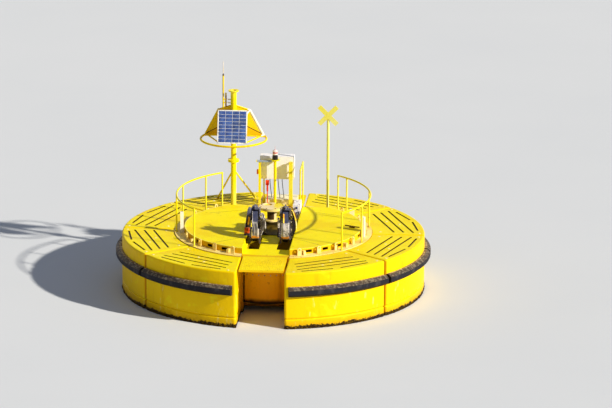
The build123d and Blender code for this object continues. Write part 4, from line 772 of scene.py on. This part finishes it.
lens.coat(rgb(196, 150, 160), lens_height.ramp(0.70, 0.72) * 0.6)
lens.fleck(rgb(90, 70, 80), 30.0, 0.55, 0.65, 0.4)
lens.set("Coat Weight", 0.5)
lens.on("lantern")

# Cabinet, its door and the deck boxes: sheet steel in white and cream paint, rusty at the edges,
# the power pack beside the capstan with two blue caps. The cabinet's cables leave through glands
# in its floor and run down to the battery box, and the left post carries an orange reflector.
enamel = Finish("white_paint", rgb(250, 250, 255), 0.4)
enamel.weather(rgb(186, 120, 40), 0.25, rgb(252, 248, 246), 0.1)
enamel.on("cabinet", "cabinet_door")
boxes = Finish("deck_box_paint", rgb(250, 242, 206), 0.4)
boxes.weather(rgb(170, 110, 40), 0.4, rgb(244, 226, 160), 0.25)
pack_left = 0.38
pack_right = 1.0
pack_rear = 2.0
pack_top = DECK + 0.37
pack = (boxes.x > pack_left) * (boxes.z < pack_top) * (boxes.y < pack_rear) * (boxes.x < pack_right)
boxes.coat(rgb(250, 246, 248), pack)
boxes.coat(rgb(176, 172, 186), pack * boxes.noise(6.0, 3.0, (2.0, 1.0, 0.3)).ramp(0.5, 0.6) * 0.8)
boxes.on("deck_boxes")
cap_blue = Finish("cap_blue", rgb(44, 52, 110), 0.4)
cap_blue.fleck(rgb(90, 100, 160), 30.0, 0.5, 0.6)
cap_x = 0.50
cap_y = 1.322
caps = bmesh.new()
prism(caps, (cap_x, cap_y, DECK + 0.29), (0, -1, 0), 0.034, 0.030, 16, 0.006)
prism(caps, (cap_x, cap_y, DECK + 0.16), (0, -1, 0), 0.020, 0.022, 12, 0.004)
keep(caps, "power_pack_caps", cap_blue.on())
door_low, door_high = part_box("cabinet_door")
handle_x = door_high.x - 0.06
handle_z = (door_low.z + door_high.z) / 2
handle = bmesh.new()
prism(handle, (handle_x, door_high.y - 0.004, handle_z), (0, 1, 0), 0.022, 0.014, 20, 0.003)
lever = Matrix.Translation((handle_x, door_high.y + 0.016, handle_z - 0.03))
slab(handle, (0.026, 0.014, 0.13), lever, 0.004)
keep(handle, "door_handle", bolt_zinc, "cabinet_door")
cable_black = Finish("cable_black", rgb(34, 30, 32), 0.5)
cable_black.fleck(rgb(80, 72, 66), 26.0, 0.5, 0.66)
cabinet_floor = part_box("cabinet")[0].z
battery_top = DECK + 0.150
first_cable_x = -0.34
cable_pitch = 0.11
cable_r = 0.009
gland_r = 0.016
gland_h = 0.030
top_y = 2.74
foot_y = 2.80
glands = bmesh.new()
cables = bmesh.new()
for number in range(4):
    at_x = first_cable_x + number * cable_pitch
    foot_x = at_x + 0.05
    prism(glands, (at_x, top_y, cabinet_floor - 0.028), UP, gland_r, gland_h, 12, 0.002)
    prism(glands, (foot_x, foot_y, battery_top - 0.002), UP, gland_r, gland_h, 12, 0.002)
    start = (at_x, top_y, cabinet_floor - 0.020)
    middle = (at_x + 0.02, top_y + 0.02 + number * 0.01, (cabinet_floor + battery_top) / 2)
    end = (foot_x, foot_y, battery_top + 0.02)
    pipe(cables, (start, middle, end), cable_r, 8)
keep(glands, "cable_glands", bolt_zinc)
keep(cables, "cabinet_cables", cable_black.on())
orange_lens = Finish("post_orange", rgb(246, 112, 20), 0.35)
orange_lens.fleck(rgb(255, 170, 60), 30.0, 0.48, 0.6)
left_post = Matrix.Translation((-0.640, 2.44, DECK + 0.965))
post_lens = bmesh.new()
slab(post_lens, (0.052, 0.06, 0.13), left_post, 0.010)
keep(post_lens, "post_reflector", orange_lens.on())

# Hook bed: the base plate with both pedestals and the capstan's seat. Its yellow paint is dark
# olive-brown, partly grease from the lines and partly painted shade under the hooks and the
# capstan, and bare at its edges.
# Painted shade and grease: the base is dark olive-brown.
bed = Finish("bed_paint", rgb(78, 64, 12), 0.5)
bed.weather(rgb(60, 38, 16), 0.9, rgb(110, 88, 18), 0.8)
bed.fleck(rgb(28, 24, 10), 2.0, 0.40, 0.54, 0.85, 4.0)
bed.on("hook_bed")

# Release hooks: cheek plates, swivels and prongs of dark oily steel, pale where lines rub. Pins
# with hexagon heads hold the cheeks, pads cover the prong's flanks, and a hood closes the top. A
# bare strip lies on the left prong's back, and an orange mark on the right one's.
hook_yaw = math.radians(5.0)
pin_y = -0.52
ring_ahead = 1.080
ring_up = 0.430
hook_x = {"left": -0.44, "right": 0.36}
blue_z = DECK + 0.5
hood_z = DECK + 0.84
cheek_edge = 0.165
hook_place = {}
frame_steel = {}
for side_name, at_x in hook_x.items():
    turn = Matrix.Rotation(hook_yaw, 4, "Z")
    hook_place[side_name] = Matrix.Translation((at_x, pin_y, DECK)) @ turn
    steel = Finish("hook_steel_" + side_name, rgb(40, 36, 44), 0.42)
    steel.coat(rgb(84, 88, 118), steel.noise(4.0, 3.0).ramp(0.44, 0.56) * (steel.z > blue_z))
    steel.coat(rgb(96, 100, 124), (steel.z > hood_z) * 0.8)
    steel.fleck(rgb(84, 70, 44), 7.0, 0.5, 0.64, 0.8, 5.0)
    steel.fleck(rgb(140, 96, 44), 15.0, 0.6, 0.68, 0.8, 4.0)
    steel.coat(rgb(206, 198, 188), steel.edges(0.012) * steel.noise(18.0).ramp(0.36, 0.5))
    across = (steel.x - at_x) * math.cos(hook_yaw) + (steel.y - pin_y) * math.sin(hook_yaw)
    steel.coat(rgb(214, 200, 188), (across > cheek_edge) * steel.noise(9.0).ramp(0.3, 0.42))
    steel.bump(steel.noise(50.0), 0.002)
    frame_steel[side_name] = steel.on("hook_frame_" + side_name, "hook_swivel_" + side_name)
bright = Finish("prong_steel", rgb(152, 148, 144), 0.45)
over_deck = bright.z - DECK
streaks = bright.noise(8.0, 4.0, (2.2, 1.0, 0.22))
bright.coat(rgb(208, 200, 194), streaks.ramp(0.50, 0.60))
bright.coat(rgb(74, 72, 84), streaks.ramp(0.47, 0.40) * 0.95)
bright.fleck(rgb(60, 52, 46), 16.0, 0.58, 0.64, 0.85)
bright.coat(rgb(226, 148, 44), over_deck.band(0.235, 0.030, 0.015) * bright.noise(11.0).ramp(0.36, 0.46))
bright.coat(rgb(30, 26, 24), over_deck.ramp(0.17, 0.20, 1.0, 0.0))
bright.coat(rgb(58, 62, 88), (over_deck + bright.noise(6.0) * 0.1).ramp(0.68, 0.71) * 0.95)
bright.coat(rgb(190, 186, 190), bright.edges(0.008) * bright.noise(14.0).ramp(0.4, 0.55) * 0.9)
bright.bump(bright.noise(40.0), 0.002)
bright_steel = bright.on("hook_prong_left", "hook_prong_right")
orange = Finish("orange_mark", rgb(255, 168, 30), 0.45)
orange.fleck(rgb(255, 214, 70), 9.0, 0.42, 0.56)
orange_paint = orange.on()
red_oxide = Finish("red_oxide", rgb(214, 84, 26), 0.5)
red_oxide.fleck(rgb(250, 150, 60), 10.0, 0.5, 0.64)
red_oxide.fleck(rgb(120, 60, 30), 24.0, 0.56, 0.66, 0.8)
red_paint = red_oxide.on()
pale_steel = Finish("pale_steel", rgb(216, 208, 198), 0.4)
pale_steel.coat(rgb(150, 144, 140), pale_steel.noise(12.0, 4.0, (1.0, 1.0, 0.25)).ramp(0.48, 0.6))
pale_steel.fleck(rgb(96, 70, 50), 22.0, 0.6, 0.68)
pale_paint = pale_steel.on()


def plate(shape, outline, thick, place, bevel=0.004):
    """A flat plate of an outline in a place's X and Z, as thick along its Y, edges bevelled."""
    front = [shape.verts.new(place @ Vector((x, -thick / 2, z))) for x, z in outline]
    back = [shape.verts.new(place @ Vector((x, thick / 2, z))) for x, z in outline]
    count = len(outline)
    made = [shape.faces.new(front), shape.faces.new(list(reversed(back)))]
    for number in range(count):
        after = (number + 1) % count
        made.append(shape.faces.new((front[number], back[number], back[after], front[after])))
    edges = list({edge for face in made for edge in face.edges})
    bmesh.ops.recalc_face_normals(shape, faces=made)
    bmesh.ops.bevel(shape, geom=edges, offset=bevel, segments=2, affect="EDGES", profile=0.6)


def arc_pad(shape, place, first, last, inner, outer, low, high):
    """A curved pad on a prong's flank, between two angles of the prong's ring."""
    steps = 14
    rows = []
    for number in range(steps + 1):
        turn = math.radians(first + (last - first) * number / steps)
        row = []
        for x, radius in ((low, inner), (high, inner + 0.012), (high, outer - 0.016), (low, outer)):
            ahead = ring_ahead + radius * math.cos(turn)
            up = ring_up + radius * math.sin(turn)
            row.append(shape.verts.new(place @ Vector((x, -ahead - pin_y, up))))
        rows.append(row)
    for near, far in zip(rows, rows[1:]):
        for side in range(4):
            after = (side + 1) % 4
            shape.faces.new((near[side], near[after], far[after], far[side]))
    shape.faces.new(list(reversed(rows[0])))
    shape.faces.new(rows[-1])


cheek_x = 0.141
pin_spots = ((0.16, 0.235, 0.048), (0.41, 0.14, 0.050), (0.30, 0.68, 0.024), (0.20, 0.46, 0.020),
             (0.60, 0.12, 0.020))
pad_spread = {"left": (-60.0, 4.0), "right": (-34.0, 36.0)}
hood_end = ((-0.105, 0.845), (-0.085, 0.905), (-0.04, 0.945), (0.04, 0.945), (0.085, 0.905),
            (0.105, 0.845))
for side_name, place in hook_place.items():
    turned = place.to_3x3()
    body = "hook_frame_" + side_name
    pins = bmesh.new()
    outboard = -1 if side_name == "left" else 1
    for ahead, up, radius in pin_spots:
        for sign in (-1, 1):
            if sign == outboard and up < 0.2:
                continue
            at = place @ Vector((sign * cheek_x, -ahead, up))
            aim = turned @ Vector((sign, 0.0, 0.0))
            prism(pins, at, aim, radius * 1.25, 0.009, 20, 0.002)
            prism(pins, at + aim * 0.008, aim, radius * 0.75, 0.016, 6, 0.004)
    keep(pins, "hook_pins_" + side_name, bolt_zinc, body)

    pads = bmesh.new()
    for sign in (-1, 1):
        arc_pad(pads, place, *pad_spread[side_name], 0.285, 0.388, sign * 0.068, sign * 0.106)
    keep(pads, "prong_pads_" + side_name, bright_steel, "hook_prong_" + side_name)
    strips = bmesh.new()
    if side_name == "left":
        arc_pad(strips, place, 28.0, 96.0, 0.380, 0.408, -0.072, -0.052)
        keep(strips, "prong_strip_left", pale_paint, "hook_prong_left")
    else:
        arc_pad(strips, place, 30.0, 74.0, 0.380, 0.410, -0.064, -0.012)
        keep(strips, "prong_mark_right", orange_paint, "hook_prong_right")

    hoods = bmesh.new()
    plate(hoods, hood_end, 0.11, place @ Matrix.Translation((0.0, -0.365, 0.0)), 0.008)
    slab(hoods, (0.032, 0.05, 0.07), place @ Matrix.Translation((0.0, -0.44, 0.905)), 0.006)
    keep(hoods, "hook_hood_" + side_name, frame_steel[side_name], body)

# The left hook's release gear hangs outboard on its cheek: a tapered cover of dark plate with
# an orange mark, two pale cylinders and a red-oxide valve block. A pale sleeve is on its guard.
place = hook_place["left"]
turned = place.to_3x3()
cover = bmesh.new()
outline = ((-0.105, 0.40), (-0.105, 0.92), (-0.160, 0.935), (-0.200, 0.86), (-0.230, 0.66), (-0.255, 0.46),
           (-0.255, 0.40))
plate(cover, outline, 0.15, place @ Matrix.Translation((0.0, -0.52, 0.0)), 0.010)
slab(cover, (0.150, 0.20, 0.05), place @ Matrix.Translation((-0.212, -0.54, 0.235)), 0.008)
keep(cover, "release_cover", frame_steel["left"], "hook_frame_left")
cylinder_h = 0.19
cylinders = bmesh.new()
for across in (-0.180, -0.240):
    at = place @ Vector((across, -0.55, 0.26))
    prism(cylinders, at, UP, 0.026, cylinder_h, 20)
    prism(cylinders, at + Vector((0, 0, cylinder_h)), UP, 0.031, 0.03, 20, 0.004)
keep(cylinders, "release_cylinders", pale_paint, "hook_frame_left")
mark = bmesh.new()
mark_at = place @ Matrix.Translation((-0.165, -0.600, 0.59)) @ Matrix.Rotation(math.radians(7.0), 4, "Y")
slab(mark, (0.046, 0.014, 0.21), mark_at, 0.005)
keep(mark, "release_mark", orange_paint, "hook_frame_left")
sleeve = bmesh.new()
guard = ((0.128, 0.745, 0.568), (0.240, 0.790, 0.545), (0.215, 0.860, 0.330), (0.130, 0.945, 0.160))
pipe(sleeve, [place @ Vector((x, -ahead - pin_y, z)) for x, ahead, z in guard], 0.037, 14)
keep(sleeve, "guard_sleeve", pale_paint, "hook_frame_left")
valve = bmesh.new()
slab(valve, (0.135, 0.10, 0.14), place @ Matrix.Translation((-0.212, -0.61, 0.335)), 0.012)
for across in (-0.185, -0.240):
    prism(valve, place @ Vector((across, -0.655, 0.35)), turned @ Vector((0, -1, 0)), 0.022, 0.03, 12, 0.004)
keep(valve, "release_valve", red_paint, "hook_frame_left")

# The right hook's ram stands at its inner cheek: a pale steel rod with a cap on a dark cylinder,
# which two brackets hold to the cheek plate.
place = hook_place["right"]
ram_x = -0.185
ram_y = -0.50
ram = bmesh.new()
prism(ram, place @ Vector((ram_x, ram_y, 0.40)), UP, 0.027, 0.24, 20)
prism(ram, place @ Vector((ram_x, ram_y, 0.64)), UP, 0.032, 0.025, 20, 0.006)
keep(ram, "right_ram", pale_paint, "hook_frame_right")
foot = bmesh.new()
prism(foot, place @ Vector((ram_x, ram_y, 0.14)), UP, 0.034, 0.26, 20, 0.004)
for up in (0.22, 0.56):
    slab(foot, (0.075, 0.06, 0.03), place @ Matrix.Translation((-0.166, ram_y, up)), 0.005)
keep(foot, "right_ram_mount", frame_steel["right"], "hook_frame_right")

# Hydraulic lines: black, brown and yellow hoses loop from the right pedestal's cap down to the bed,
# two pale ones from the left pedestal's, and all end in pressed ferrules. The lines along the bed
# are black rubber, and the signal lever in front of the gantry is red.
black_rubber = Finish("hose_rubber", rgb(30, 26, 34), 0.5)
black_rubber.fleck(rgb(84, 70, 78), 20.0, 0.5, 0.7, 0.6)
black_hose = black_rubber.on("hydraulic_lines")
hose_yellow = Finish("hose_yellow", rgb(252, 218, 60), 0.45)
hose_yellow.fleck(rgb(255, 244, 176), 9.0, 0.45, 0.6)
yellow_hose = hose_yellow.on()
hose_brown = Finish("hose_brown", rgb(116, 74, 40), 0.5)
hose_brown.fleck(rgb(176, 124, 70), 12.0, 0.45, 0.6)
brown_hose = hose_brown.on()
pedestal_z = DECK + 0.45
hose_foot = -0.449
pale_foot = -0.429
# Each route: places along the hose in x and y, and in z above the pedestals' caps.
hose_runs = (
    ("hose_black", black_hose, 0.017, ((0.40, -0.34, 0.0), (0.41, -0.33, 0.26), (0.49, -0.38, 0.31),
                                       (0.585, -0.44, 0.0), (0.60, -0.47, hose_foot))),
    ("hose_black_low", black_hose, 0.015, ((0.36, -0.36, 0.0), (0.37, -0.36, 0.16), (0.48, -0.41, 0.19),
                                           (0.59, -0.49, -0.1), (0.595, -0.53, hose_foot))),
    ("hose_yellow_loop", yellow_hose, 0.017, ((0.42, -0.40, 0.0), (0.43, -0.40, 0.22), (0.53, -0.42, 0.27),
                                              (0.645, -0.46, -0.05), (0.635, -0.50, hose_foot))),
    ("hose_brown_loop", brown_hose, 0.014, ((0.38, -0.28, 0.0), (0.39, -0.28, 0.32), (0.52, -0.30, 0.32),
                                            (0.63, -0.32, 0.02), (0.625, -0.35, hose_foot))),
    ("hose_pale", pale_paint, 0.026, ((-0.38, -0.36, 0.0), (-0.37, -0.36, 0.12), (-0.24, -0.38, 0.14),
                                      (-0.20, -0.36, -0.1), (-0.19, -0.30, pale_foot))),
    ("hose_pale_low", pale_paint, 0.022, ((-0.36, -0.30, 0.0), (-0.35, -0.30, 0.07), (-0.28, -0.30, 0.08),
                                          (-0.25, -0.26, -0.2), (-0.24, -0.22, pale_foot))),
)
ferrules = bmesh.new()
for name, paint, radius, route in hose_runs:
    hose = bmesh.new()
    points = [Vector((x, y, pedestal_z + z)) for x, y, z in route]
    pipe(hose, points, radius, 12)
    keep(hose, name, paint)
    prism(ferrules, points[0] - Vector((0, 0, 0.004)), UP, radius * 1.35, 0.05, 16, 0.003)
    prism(ferrules, points[-1], UP, radius * 1.35, 0.045, 16, 0.003)
keep(ferrules, "hose_ferrules", bolt_zinc)
signal = Finish("signal_red", rgb(226, 52, 26), 0.35)
signal.fleck(rgb(252, 96, 40), 14.0, 0.45, 0.65)
signal.on("signal_lever")

# Capstan: a cast drum under a broad head with a round pocket, cream paint gone yellow on one side
# and dark where the lines rub on the barrel. Eight rusty bolts hold the head to the barrel.
head_low, head_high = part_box("capstan_drum")
head_mid = (head_low + head_high) / 2
pocket_depth = 0.022
head_t = 0.075
foot_t = 0.05
capstan = Finish("capstan_paint", rgb(242, 220, 162), 0.42)
capstan.coat(rgb(250, 226, 30), (capstan.x - head_mid.x).ramp(0.02, 0.10))
capstan.coat(rgb(252, 216, 16), (capstan.z < head_high.z - pocket_depth) * 0.95)
capstan.weather(rgb(150, 92, 30), 0.55, rgb(248, 232, 190), 0.3)
barrel = (capstan.z < head_high.z - head_t) * (capstan.z > head_low.z + foot_t)
barrel_side = capstan.x - head_mid.x + 0.02
capstan.coat(rgb(226, 206, 150), barrel)
capstan.coat(rgb(58, 32, 14), barrel * barrel_side.band(0.0, 0.085, 0.012) * 0.96)
capstan.coat(rgb(120, 74, 28), barrel * capstan.noise(7.0, 3.0).ramp(0.5, 0.62) * 0.6)
capstan.on("capstan_drum")
nut = Finish("rusty_bolt", rgb(150, 92, 20), 0.6)
nut.fleck(rgb(92, 52, 16), 40.0, 0.45, 0.6)
head_circle = 0.305
head_bolts = []
for number in range(8):
    spot = Vector((head_mid.x, head_mid.y, head_high.z)) + ring_point(head_circle, 22.5 + 45 * number, 0.0)
    head_bolts.append((spot, UP))
head = bmesh.new()
prism(head, (0, 0, -0.002), UP, 0.019, 0.012, 6, 0.003)
repeat(head, "capstan_bolts", head_bolts, nut.on(), 4, body="capstan")

# Cleat: a small horned cleat of dark cast iron, welded to the right deck plate. Its paint has
# gone, and dull yellow-brown flecks of it are left.
cleat = Finish("cleat_iron", rgb(84, 66, 22), 0.5)
cleat.fleck(rgb(128, 106, 30), 24.0, 0.45, 0.6)
cleat.on("deck_cleat")
